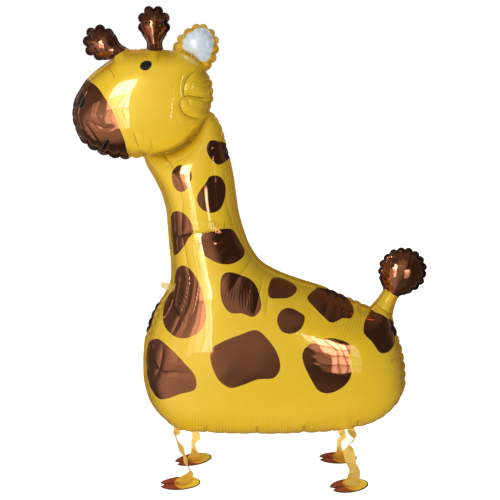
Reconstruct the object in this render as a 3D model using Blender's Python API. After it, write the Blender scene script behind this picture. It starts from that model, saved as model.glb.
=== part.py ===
# A walking foil balloon in the shape of a giraffe: one welded foil envelope, a film
# filling valve, four paper ribbon legs and four card hooves.
# Metres, +Z up. The giraffe looks towards -X and stands on its hooves at z = 0, and
# the two foil panels meet in the plane y = 0.

import math

import bpy
import numpy as np
from mathutils import Vector
from mathutils.geometry import delaunay_2d_cdt

# The figure
HEIGHT = 1.0                    # soles to the top of the upright horn
FULLNESS = 1.04                 # how round a thin tube of foil is blown
FLATTENING = 1.8                # how much of that the wider parts lose

# The welded edge
SEAM_WIDTH = 0.007
SEAM_THICKNESS = 0.0012
PUCKER_SPACING = 0.0085         # largest step between points along the edge
MESH_SIZE = 0.030               # grid of points in the middle of a panel
RING_DEPTHS = (0.0015, 0.006, 0.014, 0.028)
RING_STEPS = (0.0080, 0.0095, 0.0140, 0.0210)

# Filling valve, a film tab that sticks out of the chest seam
VALVE_LENGTH = 0.021
VALVE_WIDTH = 0.017
VALVE_THICKNESS = 0.0006
VALVE_RISE = 0.428              # its height, as a share of HEIGHT
VALVE_OVERLAP = 0.0055          # how much of it lies on the seam

# Ribbon legs
RIBBON_WIDTH = 0.025
RIBBON_END_WIDTH = 0.031
RIBBON_THICKNESS = 0.0006
RIBBON_TAB_WIDTH = 0.014        # the end that is glued to the belly seam
RIBBON_OVERLAP = 0.0035         # and how far up the seam it reaches
RIBBON_STRAIGHT = 0.006         # and how far it hangs below the seam before it turns
RIBBON_TAPER = 5                # points of its way until it has its full width
RIBBON_STEPS = 6                # cross-sections from one point of its way to the next
TWIST_SCALE = 0.0001            # metres that a degree of twist counts as in its curve

# Card hooves
HOOF_LENGTH = 0.088
HOOF_WIDTH = 0.056
HOOF_THICKNESS = 0.0015
CLEFT_WIDTH = 0.015
CLEFT_DEPTH = 0.006

# Touching pieces keep this much air between them
GAP = 0.0003

# Outline of the envelope, clockwise as the near side shows it, in shares of HEIGHT.
# Each stretch: name, whether it starts at a corner, pitch and depth of the puckers
# along it (0 for a smooth edge), and its points (x, z).
CHIN = (-0.2245, 0.702)
NAPE = (-0.089, 0.794)
EAR_FRONT = (-0.162, 0.913)
EAR_BACK = (-0.095, 0.872)


def knob(name, left, right, stem, centre, radius, spread, pitch, depth):
    """Stretches of a stem with a round pompom. stem gives half its width at shares of
    the way to the pompom's centre, and spread the angle at which the pompom starts."""
    left, right, centre = (np.array(p) for p in (left, right, centre))
    foot = (left + right) / 2
    out = (centre - foot) / np.linalg.norm(centre - foot)
    side = np.array((-out[1], out[0]))
    turns = np.radians(np.linspace(spread, -spread, 11))
    arc = [tuple(centre + radius * (math.cos(t) * out + math.sin(t) * side)) for t in turns]
    front = [tuple(foot + share * (centre - foot) + half * side) for share, half in stem]
    back = [tuple(foot + share * (centre - foot) - half * side) for share, half in stem]
    return [
        (name + "_stem_front", True, 0, 0, [tuple(left)] + front),
        (name + "_bulb", False, pitch, depth, arc[:-1]),
        (name + "_stem_back", False, 0, 0, arc[-1:] + back[::-1]),
    ]


OUTLINE = [
    ("jaw", True, 0.026, 0.005,
     [CHIN, (-0.251, 0.6975), (-0.277, 0.6975), (-0.304, 0.704), (-0.327, 0.7135),
      (-0.347, 0.7285)]),
    ("muzzle", False, 0.022, 0.0012,
     [(-0.357, 0.745), (-0.363, 0.762), (-0.367, 0.781), (-0.366, 0.799)]),
    ("forehead", False, 0, 0,
     [(-0.360, 0.820), (-0.349, 0.838), (-0.336, 0.856), (-0.319, 0.872), (-0.301, 0.885)]),
    *knob("front_horn", (-0.280, 0.899), (-0.246, 0.915), [(0.25, 0.0172)],
          (-0.305, 0.9285), 0.0350, 130, 0.026, 0.007),
    ("crown", True, 0.017, 0.002, [(-0.246, 0.915), (-0.230, 0.9165)]),
    *knob("rear_horn", (-0.213, 0.917), (-0.180, 0.915), [(0.25, 0.0158)],
          (-0.197, 0.9665), 0.0335, 134, 0.026, 0.007),
    ("poll", True, 0, 0, [(-0.180, 0.915)]),
    ("ear", True, 0.021, 0.005,
     [EAR_FRONT, (-0.159, 0.926), (-0.150, 0.941), (-0.133, 0.955), (-0.119, 0.963),
      (-0.104, 0.966), (-0.088, 0.959), (-0.076, 0.949), (-0.069, 0.935), (-0.068, 0.920),
      (-0.072, 0.901), (-0.082, 0.883)]),
    ("nape", True, 0.0175, 0.003,
     [EAR_BACK, (-0.085, 0.858), (-0.081, 0.840), (-0.081, 0.818)]),
    ("withers", True, 0.017, 0.0015,
     [NAPE, (-0.080, 0.789), (-0.070, 0.774), (-0.061, 0.752), (-0.054, 0.722)]),
    ("back", False, 0, 0,
     [(-0.046, 0.691), (-0.040, 0.659), (-0.035, 0.621), (-0.030, 0.588), (-0.020, 0.552),
      (-0.007, 0.518), (0.016, 0.485), (0.050, 0.464), (0.099, 0.445)]),
    ("loin", False, 0.020, 0.0025, [(0.146, 0.430), (0.189, 0.411), (0.221, 0.397)]),
    *knob("tail", (0.249, 0.384), (0.298, 0.362), [(0.2, 0.0215), (0.47, 0.0198)],
          (0.315, 0.461), 0.0520, 146, 0.0185, 0.0045),
    ("rump", True, 0.020, 0.003,
     [(0.298, 0.362), (0.307, 0.333), (0.318, 0.302), (0.327, 0.268), (0.332, 0.231)]),
    ("haunch", False, 0.026, 0.0015,
     [(0.331, 0.199), (0.3205, 0.171), (0.302, 0.1445), (0.273, 0.124)]),
    ("belly", False, 0.030, 0.0018,
     [(0.228, 0.1085), (0.170, 0.101), (0.082, 0.0975), (-0.007, 0.0965),
      (-0.084, 0.0978), (-0.128, 0.0985), (-0.153, 0.099), (-0.171, 0.103)]),
    ("brisket", False, 0, 0,
     [(-0.1965, 0.127), (-0.2195, 0.155), (-0.2325, 0.187), (-0.2385, 0.222),
      (-0.2385, 0.263)]),
    ("chest", False, 0.020, 0.0025, [(-0.235, 0.304), (-0.225, 0.349), (-0.209, 0.385)]),
    ("throat", False, 0, 0,
     [(-0.190, 0.411), (-0.176, 0.442), (-0.174, 0.477), (-0.177, 0.520), (-0.179, 0.558),
      (-0.182, 0.596), (-0.192, 0.632), (-0.206, 0.661), (-0.218, 0.683)]),
]

# Weld lines across the envelope: under the head, and where the ear joins it
INNER_WELDS = {
    "head": [CHIN, (-0.207, 0.707), (-0.185, 0.710), (-0.164, 0.715), (-0.144, 0.725),
             (-0.125, 0.740), (-0.111, 0.757), (-0.102, 0.774), NAPE],
    "ear": [EAR_FRONT, (-0.149, 0.9145), (-0.136, 0.909), (-0.120, 0.901),
            (-0.108, 0.890), EAR_BACK],
}

# Legs: name, side (-1 near, 1 far), x where the ribbon is glued to the belly, hoof
# centre (x, y), turn of the hoof's toes towards the near side in degrees, and the
# ribbon's way down: x, how far it has gone out to its last point, how much of the
# drop is left, and the heading of its width (0 along X, 90 edge-on from the side).
# The last two points lie on the hoof. All places are in shares of HEIGHT.
LEGS = [
    ("front_near", -1, -0.169, (-0.1585, -0.0535), 9,
     [(-0.1705, 0.07, 0.86, 84), (-0.165, 0.15, 0.70, 90), (-0.1585, 0.20, 0.585, 72),
      (-0.152, 0.27, 0.455, 92), (-0.148, 0.35, 0.33, 82), (-0.1425, 0.40, 0.215, 112),
      (-0.1395, 0.47, 0.115, 105), (-0.1435, 0.64, 0.045, 135), (-0.1535, 0.86, 0, 147),
      (-0.1600, 1.0, 0, 147)],
     0.056),
    ("front_far", 1, -0.128, (-0.1375, 0.0565), 26,
     [(-0.1270, 0.2, 0.83, 32), (-0.1290, 0.45, 0.64, 18), (-0.1320, 0.74, 0.45, 85),
      (-0.1310, 1.09, 0.25, 128), (-0.1320, 1.32, 0.11, 150), (-0.1360, 1.22, 0, 156),
      (-0.1400, 1.0, 0, 156)],
     0.049),
    ("rear_near", -1, 0.216, (0.2070, -0.0630), 21,
     [(0.2200, 0.12, 0.89, 35), (0.2238, 0.18, 0.84, 65), (0.2225, 0.18, 0.78, 65),
      (0.2150, 0.17, 0.71, 62), (0.2100, 0.18, 0.63, 62), (0.2100, 0.21, 0.55, 25),
      (0.2120, 0.26, 0.45, 8), (0.2150, 0.30, 0.34, 10), (0.2180, 0.33, 0.24, 40),
      (0.2215, 0.36, 0.16, 25), (0.2225, 0.42, 0.09, -5), (0.2190, 0.58, 0.035, -15),
      (0.2130, 0.80, 0, -17), (0.2105, 1.0, 0, -17)],
     0.067),
    ("rear_far", 1, 0.195, (0.1965, 0.0640), 2,
     [(0.1995, 0.18, 0.83, 60), (0.1990, 0.43, 0.64, 15), (0.1995, 0.71, 0.45, 60),
      (0.2040, 1.02, 0.25, 105), (0.2065, 1.28, 0.12, 145), (0.2055, 1.24, 0, 155),
      (0.2010, 1.0, 0, 155)],
     0.056),
]


def material(name, colour, roughness, metallic=0.0, alpha=1.0):
    """A plain Principled material."""
    made = bpy.data.materials.new(name)
    made.use_nodes = True
    shader = made.node_tree.nodes["Principled BSDF"]
    shader.inputs["Base Color"].default_value = (*colour, 1.0)
    shader.inputs["Roughness"].default_value = roughness
    shader.inputs["Metallic"].default_value = metallic
    shader.inputs["Alpha"].default_value = alpha
    return made


def add_object(name, verts, faces, look, smooth=None):
    """A mesh object whose points are already in place."""
    mesh = bpy.data.meshes.new(name)
    mesh.from_pydata([tuple(map(float, v)) for v in verts], [], [tuple(map(int, f)) for f in faces])
    mesh.materials.append(look)
    if smooth is not None:
        mesh.shade_smooth()
        mesh.set_sharp_from_angle(angle=math.radians(smooth))
    mesh.update()
    piece = bpy.data.objects.new(name, mesh)
    bpy.context.scene.collection.objects.link(piece)
    return piece


def through(points, steps=16):
    """Points close together on a smooth open curve through the given ones, and the
    index of each given point among them."""
    p = np.asarray(points, float)
    p = np.vstack([2 * p[:1] - p[1:2], p, 2 * p[-1:] - p[-2:-1]])
    curve = []
    for k in range(1, len(p) - 2):
        a, b, c, d = p[k - 1:k + 3]
        ta = 0.0
        tb = ta + math.sqrt(np.linalg.norm(b - a))
        tc = tb + math.sqrt(np.linalg.norm(c - b))
        td = tc + math.sqrt(np.linalg.norm(d - c))
        t = np.linspace(tb, tc, steps, endpoint=False)[:, None]
        ab = (tb - t) / (tb - ta) * a + (t - ta) / (tb - ta) * b
        bc = (tc - t) / (tc - tb) * b + (t - tb) / (tc - tb) * c
        cd = (td - t) / (td - tc) * c + (t - tc) / (td - tc) * d
        left = (tc - t) / (tc - ta) * ab + (t - ta) / (tc - ta) * bc
        right = (td - t) / (td - tb) * bc + (t - tb) / (td - tb) * cd
        curve.append((tc - t) / (tc - tb) * left + (t - tb) / (tc - tb) * right)
    curve.append(p[-2:-1])
    return np.vstack(curve), [steps * k for k in range(len(points))]


def along(curve, count):
    """count equal steps along a curve; the last point is left for what follows."""
    length = np.concatenate([[0], np.cumsum(np.linalg.norm(np.diff(curve, axis=0), axis=1))])
    at = np.linspace(0, length[-1], count, endpoint=False)
    return np.column_stack([np.interp(at, length, curve[:, k]) for k in range(curve.shape[1])])


def curve_length(curve):
    return float(np.sum(np.linalg.norm(np.diff(curve, axis=0), axis=1)))


def edge_points():
    """The envelope's edge as evenly stepped points, and how far each is drawn in by
    the puckers."""
    runs = []
    for stretch in OUTLINE:
        if stretch[1]:
            runs.append([])
        runs[-1].append(stretch)
    points, drawn_in = [], []
    for number, run in enumerate(runs):
        after = runs[(number + 1) % len(runs)][0][4][0]
        marks = [p for stretch in run for p in stretch[4]] + [after]
        curve, index = through(np.array(marks) * HEIGHT)
        start = 0
        for _, _, pitch, depth, own in run:
            piece = curve[index[start]:index[start + len(own)] + 1]
            start += len(own)
            length = curve_length(piece)
            if pitch:
                lobes = max(1, round(length / (pitch * HEIGHT)))
                steps = max(3, math.ceil(length / lobes / PUCKER_SPACING))
                phase = np.arange(lobes * steps) / steps
                fade = np.clip(np.minimum(phase, lobes - phase) / 0.6, 0, 1)
                draw = depth * HEIGHT * (1 - np.abs(np.sin(math.pi * phase)) ** 0.8) * fade
            else:
                draw = np.zeros(max(1, math.ceil(length / (1.4 * PUCKER_SPACING))))
            points.append(along(piece, len(draw)))
            drawn_in.append(draw)
    return np.vstack(points), np.concatenate(drawn_in)


def inward(loop):
    """Unit normals of a clockwise loop, pointing into it."""
    tangent = np.roll(loop, -1, axis=0) - np.roll(loop, 1, axis=0)
    tangent = tangent + 0.5 * (np.roll(tangent, 1, axis=0) + np.roll(tangent, -1, axis=0))
    normal = np.column_stack([tangent[:, 1], -tangent[:, 0]])
    return normal / np.linalg.norm(normal, axis=1, keepdims=True)


def distance(points, line, closed):
    """Distance from each point to a line of straight pieces."""
    a = line if closed else line[:-1]
    b = np.roll(line, -1, axis=0) if closed else line[1:]
    ab = b - a
    best = np.full(len(points), np.inf)
    for start, span in zip(a, ab):
        t = np.clip((points - start) @ span / (span @ span), 0, 1)
        best = np.minimum(best, np.linalg.norm(points - start - t[:, None] * span, axis=1))
    return best


def inside(points, loop):
    """Which points a closed loop holds."""
    x, z = points[:, 0], points[:, 1]
    held = np.zeros(len(points), bool)
    for (x1, z1), (x2, z2) in zip(loop, np.roll(loop, -1, axis=0)):
        if z1 != z2:
            crosses = (z1 > z) != (z2 > z)
            held ^= crosses & (x < x1 + (z - z1) * (x2 - x1) / (z2 - z1))
    return held


def thinned(groups):
    """Points of all groups in order, without any that crowds one before it."""
    kept = np.zeros((0, 2))
    for points, room in groups:
        for p in points:
            if not len(kept) or np.min(np.sum((kept - p) ** 2, axis=1)) > room ** 2:
                kept = np.vstack([kept, p])
    return kept


def side_lines(line, offset, step):
    """Two lines of points beside an open line."""
    dense = along(line, max(2, round(curve_length(line) / step)))
    tangent = np.gradient(dense, axis=0)
    normal = np.column_stack([tangent[:, 1], -tangent[:, 0]])
    normal /= np.linalg.norm(normal, axis=1, keepdims=True)
    return np.vstack([dense + offset * normal, dense - offset * normal])


def panel():
    """The flat panel, cut into triangles: points, triangles, the number of points on
    its edge, and which points are free to rise."""
    base, drawn_in = edge_points()
    normal = inward(base)
    rim = base + normal * drawn_in[:, None]
    weld = rim + normal * SEAM_WIDTH
    welds = [through(np.array(line) * HEIGHT)[0] for line in INNER_WELDS.values()]
    welds = [np.vstack([along(line, round(curve_length(line) / PUCKER_SPACING)), line[-1:]])
             for line in welds]

    def kept(points, clear):
        ok = inside(points, rim) & (distance(points, rim, True) > SEAM_WIDTH + clear)
        for line in welds:
            ok &= distance(points, line, False) > clear
        return points[ok]

    on_weld = weld[distance(weld, rim, True) > 0.8 * SEAM_WIDTH]
    groups = [(rim, 0.0)]
    groups += [(line[1:-1], 0.3 * PUCKER_SPACING) for line in welds]
    groups.append((on_weld[inside(on_weld, rim)], 0.4 * PUCKER_SPACING))
    for depth, step in zip(RING_DEPTHS, RING_STEPS):
        every = max(1, round(step / PUCKER_SPACING))
        ring = (weld + normal * depth)[::every]
        groups.append((kept(ring, 0.75 * depth), 0.62 * step if every > 1 else 0.3 * step))
        for line in welds:
            groups.append((kept(side_lines(line, depth, step), 0.75 * depth), 0.62 * step))
    low, high = rim.min(axis=0), rim.max(axis=0)
    rows = np.arange(low[1], high[1], MESH_SIZE * math.sqrt(0.75))
    grid = [(x + (row % 2) * MESH_SIZE / 2, z) for row, z in enumerate(rows)
            for x in np.arange(low[0], high[0], MESH_SIZE)]
    groups.append((kept(np.array(grid), RING_DEPTHS[-1] + 0.5 * MESH_SIZE), 0.6 * MESH_SIZE))
    points = thinned(groups)

    edges = [(k, (k + 1) % len(rim)) for k in range(len(rim))]
    found = delaunay_2d_cdt([Vector(p) for p in points], edges, [], 1, 1e-6)
    flat = np.array([tuple(v) for v in found[0]])
    triangles = np.array(found[2])
    across = flat[triangles[:, 1]] - flat[triangles[:, 0]]
    up = flat[triangles[:, 2]] - flat[triangles[:, 0]]
    area = across[:, 0] * up[:, 1] - across[:, 1] * up[:, 0]
    triangles[area < 0] = triangles[area < 0][:, ::-1]

    tight = 0.15 * RING_DEPTHS[0]
    free = distance(flat, rim, True) > SEAM_WIDTH + tight
    for line in welds:
        free &= distance(flat, line, False) > tight
    return flat, triangles, rim, free


def blown_up(flat, triangles, free):
    """How far each point of a panel rises from the seam plane when it is inflated.
    The rise follows a soap film's height over the same outline, as a square root."""
    a, b, c = (flat[triangles[:, k]] for k in range(3))
    area = 0.5 * ((b - a)[:, 0] * (c - a)[:, 1] - (b - a)[:, 1] * (c - a)[:, 0])
    slopes = np.stack([c - b, a - c, b - a], axis=1)
    stiffness = np.zeros((len(flat), len(flat)))
    load = np.zeros(len(flat))
    for i in range(3):
        np.add.at(load, triangles[:, i], area / 3)
        for j in range(3):
            share = np.sum(slopes[:, i] * slopes[:, j], axis=1) / (4 * area)
            np.add.at(stiffness, (triangles[:, i], triangles[:, j]), share)
    film = np.zeros(len(flat))
    free_points = np.flatnonzero(free)
    film[free_points] = np.linalg.solve(stiffness[np.ix_(free_points, free_points)],
                                        load[free_points])
    film = np.sqrt(2 * np.clip(film, 0, None))
    rise = film * (FULLNESS - FLATTENING * film / HEIGHT)
    return np.maximum(rise, SEAM_THICKNESS / 2)


def rim_order(flat, rim):
    """Indices of the panel's points that make up its edge, in order."""
    return [int(np.argmin(np.sum((flat - p) ** 2, axis=1))) for p in rim]


def make_envelope(look):
    """Both panels and the thin wall round the edge, as one closed body."""
    flat, triangles, rim, free = panel()
    rise = blown_up(flat, triangles, free)
    near = np.column_stack([flat[:, 0], -rise, flat[:, 1]])
    far = near * (1, -1, 1)
    count = len(flat)
    edge = rim_order(flat, rim)
    faces = [tuple(t) for t in triangles] + [tuple(t[::-1] + count) for t in triangles]
    for here, there in zip(edge, edge[1:] + edge[:1]):
        faces.append((here, there, there + count))
        faces.append((here, there + count, here + count))
    return add_object("foil_balloon", np.vstack([near, far]), faces, look, smooth=50), rim


def lowest_edge(rim, x):
    """Height of the belly's edge at x."""
    after = np.roll(rim, -1, axis=0)
    heights = []
    for (x1, z1), (x2, z2) in zip(rim, after):
        if min(x1, x2) <= x < max(x1, x2):
            heights.append(z1 + (x - x1) * (z2 - z1) / (x2 - x1))
    return min(heights)


def ribbon(name, centres, widths_to, widths, thickness, look, floor=-1.0):
    """A flat ribbon along centres; widths_to gives the heading of its width. A section
    that would dip below the floor is lifted onto it."""
    tangent = np.gradient(centres, axis=0)
    tangent /= np.linalg.norm(tangent, axis=1, keepdims=True)
    across = widths_to - np.sum(widths_to * tangent, axis=1, keepdims=True) * tangent
    across /= np.linalg.norm(across, axis=1, keepdims=True)
    normal = np.cross(tangent, across)
    half = np.asarray(widths)[:, None] / 2 * across
    lift = normal * thickness / 2
    verts = np.stack([centres - half - lift, centres + half - lift,
                      centres + half + lift, centres - half + lift], axis=1)
    verts[:, :, 2] += np.clip(floor - verts[:, :, 2].min(axis=1), 0, None)[:, None]
    verts = verts.reshape(-1, 3)
    last = len(centres) - 1
    faces = [(3, 2, 1, 0), tuple(4 * last + k for k in range(4))]
    # Both broad sides are cut along the same diagonal, so a twist keeps its thickness
    for row in range(last):
        for k in range(4):
            a, b = 4 * row + k, 4 * row + (k + 1) % 4
            if k == 2:
                faces += [(a, b, a + 4), (b, b + 4, a + 4)]
            else:
                faces += [(a, b, b + 4), (a, b + 4, a + 4)]
    return add_object(name, verts, faces, look, smooth=50)


def make_leg(leg, rim, look):
    """A twisted paper ribbon, from the belly seam down to the top of its hoof."""
    name, side, top_x, _, _, way, reach = leg
    seam = lowest_edge(rim, top_x * HEIGHT)
    tab = SEAM_THICKNESS / 2 + GAP + RIBBON_THICKNESS / 2
    floor = HOOF_THICKNESS + GAP + RIBBON_THICKNESS / 2
    stations = [(top_x * HEIGHT, side * tab, seam + RIBBON_OVERLAP, 0),
                (top_x * HEIGHT, side * tab, seam - RIBBON_STRAIGHT, 0)]
    for x, out, left, turn in way:
        across = tab + out * (reach * HEIGHT - tab)
        stations.append((x * HEIGHT, side * across, floor + left * (seam - floor), turn))
    # The headings join the spline at a scale like that of the steps between points
    stations = np.array(stations) * (1, 1, 1, TWIST_SCALE)
    dense, index = through(stations, RIBBON_STEPS)
    last_flat = index[len(stations) - 2]
    dense[last_flat:, 2] = floor
    dense[:index[1] + 1, [1, 3]] = side * tab, 0
    turn = np.radians(dense[:, 3] / TWIST_SCALE)
    heading = np.column_stack([np.cos(turn), np.sin(turn), np.zeros(len(turn))])
    share = np.clip((np.arange(len(dense)) - index[-4]) / (index[-1] - index[-4]), 0, 1)
    width = RIBBON_WIDTH + (RIBBON_END_WIDTH - RIBBON_WIDTH) * share
    widening = index[RIBBON_TAPER]
    width[:widening] = np.linspace(RIBBON_TAB_WIDTH, RIBBON_WIDTH, widening)
    width[-RIBBON_STEPS:] *= np.sqrt(1 - np.linspace(0.0, 0.9, RIBBON_STEPS) ** 2)
    return ribbon("leg_" + name, dense[:, :3], heading, width, RIBBON_THICKNESS, look,
                  floor=HOOF_THICKNESS + GAP)


def make_hoof(leg, look):
    """An oval card sole with a cleft between its two toes, which point to -X."""
    name, _, _, (x, y), turn, _, _ = leg
    a, b = HOOF_LENGTH / 2, HOOF_WIDTH / 2
    toe = math.asin(CLEFT_WIDTH / 2 / b)
    angles = np.linspace(toe, 2 * math.pi - toe, 37)
    loop = [(-a * math.cos(t), b * math.sin(t)) for t in angles]
    tip = loop[0][0] + CLEFT_DEPTH
    loop += [(tip, -0.1 * CLEFT_WIDTH), (tip, 0.1 * CLEFT_WIDTH)]
    count = len(loop)
    verts = [(px, py, 0.0) for px, py in loop] + [(px, py, HOOF_THICKNESS) for px, py in loop]
    faces = [tuple(range(count)), tuple(reversed(range(count, 2 * count)))]
    for k in range(count):
        after = (k + 1) % count
        faces.append((after, k, k + count, after + count))
    hoof = add_object("hoof_" + name, verts, faces, look, smooth=40)
    hoof.location = (x * HEIGHT, y * HEIGHT, 0)
    hoof.rotation_euler = (0, 0, math.radians(turn))
    return hoof


def make_valve(rim, look):
    """A curled film tab, glued to the near face of the chest seam."""
    height = VALVE_RISE * HEIGHT
    chest = rim[(rim[:, 0] < -0.1 * HEIGHT) & (np.abs(rim[:, 1] - height) < 0.05 * HEIGHT)]
    chest = chest[np.argsort(chest[:, 1])]
    edge = float(np.interp(height, chest[:, 1], chest[:, 0]))
    slope = np.polyfit(chest[:, 1], chest[:, 0], 1)[0]
    up = np.array((slope, 1.0)) / math.hypot(slope, 1.0)
    out = np.array((-up[1], up[0]))
    lie = SEAM_THICKNESS / 2 + GAP + VALVE_THICKNESS / 2
    reach = np.linspace(-VALVE_OVERLAP, VALVE_LENGTH - VALVE_OVERLAP, 9)
    free = np.clip(reach, 0, None) / (VALVE_LENGTH - VALVE_OVERLAP)
    curl = -lie - 0.25 * VALVE_LENGTH * free ** 2
    place = np.array((edge, height)) + reach[:, None] * out
    centres = np.column_stack([place[:, 0], curl, place[:, 1]])
    heading = np.tile((up[0], 0.0, up[1]), (len(reach), 1))
    width = VALVE_WIDTH * (1 - 0.25 * free)
    return ribbon("inflation_valve", centres, heading, width, VALVE_THICKNESS, look)


def main():
    for old in list(bpy.data.objects):
        bpy.data.objects.remove(old, do_unlink=True)
    foil = material("yellow foil", (0.83, 0.60, 0.07), 0.18, metallic=0.5)
    film = material("clear film", (0.92, 0.90, 0.75), 0.15, alpha=0.6)
    paper = material("yellow paper", (0.85, 0.62, 0.14), 0.7)
    card = material("printed card", (0.42, 0.11, 0.04), 0.6)

    envelope, rim = make_envelope(foil)
    pieces = [envelope, make_valve(rim, film)]
    for leg in LEGS:
        pieces.append(make_leg(leg, rim, paper))
        pieces.append(make_hoof(leg, card))

    # The frame's origin is under the middle of the outline
    giraffe = bpy.data.objects.new("giraffe", None)
    bpy.context.scene.collection.objects.link(giraffe)
    giraffe.location.x = -(rim[:, 0].min() + rim[:, 0].max()) / 2
    for piece in pieces:
        piece.parent = giraffe


main()
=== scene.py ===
# The looks of a walking foil balloon in the shape of a giraffe: the blown-up and
# puckered foil envelope with its printed spots, face and ear, the film valve, the
# twisted paper legs and the printed card hooves.
# Metres, +Z up. The giraffe looks towards -X and its two foil panels meet at y = 0.

import math

import bpy
import numpy as np
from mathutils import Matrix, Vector, noise
from mathutils.geometry import delaunay_2d_cdt
from mathutils.kdtree import KDTree


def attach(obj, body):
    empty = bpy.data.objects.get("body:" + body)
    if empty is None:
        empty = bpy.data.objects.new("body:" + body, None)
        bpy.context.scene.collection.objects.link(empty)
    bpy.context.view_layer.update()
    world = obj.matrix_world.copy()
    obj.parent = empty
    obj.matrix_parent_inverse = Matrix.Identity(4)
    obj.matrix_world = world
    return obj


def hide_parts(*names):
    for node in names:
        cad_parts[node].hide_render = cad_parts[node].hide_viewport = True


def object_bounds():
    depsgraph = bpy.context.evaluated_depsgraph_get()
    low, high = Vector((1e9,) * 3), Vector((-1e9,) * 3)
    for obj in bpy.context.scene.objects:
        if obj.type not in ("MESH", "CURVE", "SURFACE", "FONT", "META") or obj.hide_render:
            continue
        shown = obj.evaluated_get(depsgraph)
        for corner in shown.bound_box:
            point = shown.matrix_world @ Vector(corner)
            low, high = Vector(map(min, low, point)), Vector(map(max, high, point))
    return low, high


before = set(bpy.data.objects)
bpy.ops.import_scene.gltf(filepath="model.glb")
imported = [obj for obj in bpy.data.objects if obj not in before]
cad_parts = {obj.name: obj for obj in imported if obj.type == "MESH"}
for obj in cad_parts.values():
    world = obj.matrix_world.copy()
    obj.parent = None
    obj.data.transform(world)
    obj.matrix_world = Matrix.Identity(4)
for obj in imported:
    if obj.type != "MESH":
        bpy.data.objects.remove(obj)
cad_low, cad_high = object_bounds()

# The figure, as in the solid model
HEIGHT = 1.0
FULLNESS = 1.04
FLATTENING = 1.8
SEAM_WIDTH = 0.007
SEAM_THICKNESS = 0.0012

# Fineness of the foil's mesh
EDGE_STEP = 0.0021              # along the welded edge
MESH_SIZE = 0.0031              # in the middle of a panel
SEAM_ROWS = (0.35, 0.7)         # rows of points on the weld, as shares of its width
RING_DEPTHS = (0.0008, 0.0019, 0.0033, 0.005, 0.0071, 0.0095, 0.0121, 0.0149, 0.0178, 0.0207)

# Puckers
LEAN = 0.35                     # how far a pucker may lean, as a share of its length
MAJOR_REACH = 0.046             # longest pucker
MINOR_REACH = 0.021
FINE_REACH = 0.013
FINE_PITCH = 0.0046
FINE_DEPTH = 0.00050
CREASE_WIDTH = 0.0016           # half width of the sharp bottom of a fold
CREASE_DEPTH = 0.10             # its depth, as a share of the fold's
RUFFLE = 0.0016                 # how far the free edge waves out of its plane
UNDULATION = 0.0006             # slow waves of the blown-up foil
HEAD_FLATNESS = 1.2             # how much flatter than a soap film the head's middle is
MAJOR_DEPTH = 0.0032            # of the longest puckers
MINOR_DEPTH = 0.0012            # of the short ones between them
PUCKER_START = 0.004            # a pucker has its depth this far from the weld
PUCKER_SEED = 7
SLOW_WAVES, QUICK_WAVES = 16, 34  # of the blown-up foil, for each metre
WAVE_OFFSET = 7                 # keeps the quick waves apart from the slow ones
BLOWN_FROM = 0.01               # waves and folds are full this far from the weld
RIPPLE_SHADE = 0.5              # how dark the deepest ripples' bottoms are
FOLD_ENDS, PLEAT_ENDS = 0.25, 0.12  # shares of their lines over which they fade out
FAR_FROM_FOLD = 0.02
SOLVER_ROUNDS, SOLVER_LIMIT = 1500, 1e-14

# Filling valve
VALVE_LENGTH = 0.021
VALVE_WIDTH = 0.017
VALVE_THICKNESS = 0.0006
VALVE_RISE = 0.428
VALVE_OVERLAP = 0.0055
VALVE_STEPS = 25
VALVE_CURL = 0.25               # how far its end curls out, as a share of its length

# Paper ribbon legs
RIBBON_WIDTH = 0.025
RIBBON_END_WIDTH = 0.031
RIBBON_THICKNESS = 0.0005
RIBBON_TAB_WIDTH = 0.014
RIBBON_OVERLAP = 0.0035
RIBBON_STRAIGHT = 0.006
RIBBON_TAPER = 5
RIBBON_STEPS = 12
RIBBON_COLUMNS = 9
CRUMPLE = 0.0007
CRUMPLE_SCALE = 70.0
TWIST_SCALE = 0.0001            # brings degrees near to metres, for curves through both

# Card hooves
HOOF_LENGTH = 0.088
HOOF_WIDTH = 0.056
HOOF_THICKNESS = 0.0015
CLEFT_WIDTH = 0.015
CLEFT_DEPTH = 0.006
CLEFT_END = 0.002
HOOF_RINGS, HOOF_SIDES = 22, 121
HOOF_ROUNDING, HOOF_ROUNDED = 0.00025, 0.0006   # of the cut edge: how low, how far in
PAD_RADIUS, PAD_PLACE = 0.031, 0.0185
SPLIT_HALF_WIDTH, SPLIT_WIDENS = 0.0016, 0.012

GAP = 0.0003

CHIN = (-0.2245, 0.702)
NAPE = (-0.089, 0.794)
EAR_FRONT = (-0.162, 0.913)
EAR_BACK = (-0.095, 0.872)


def knob(name, left, right, stem, centre, radius, spread, pitch, depth, reach):
    """Stretches of a stem with a round pompom. stem gives half its width at shares of
    the way to the pompom's centre, and spread the angle at which the pompom starts."""
    left, right, centre = (np.array(p) for p in (left, right, centre))
    foot = (left + right) / 2
    out = (centre - foot) / np.linalg.norm(centre - foot)
    side = np.array((-out[1], out[0]))
    turns = np.radians(np.linspace(spread, -spread, 11))
    arc = [tuple(centre + radius * (math.cos(t) * out + math.sin(t) * side)) for t in turns]
    front = [tuple(foot + share * (centre - foot) + half * side) for share, half in stem]
    back = [tuple(foot + share * (centre - foot) - half * side) for share, half in stem]
    return [
        (name + "_stem_front", True, 0, 0, 0.3, [tuple(left)] + front),
        (name + "_bulb", False, pitch, depth, reach, arc[:-1]),
        (name + "_stem_back", False, 0, 0, 0.3, arc[-1:] + back[::-1]),
    ]


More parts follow.
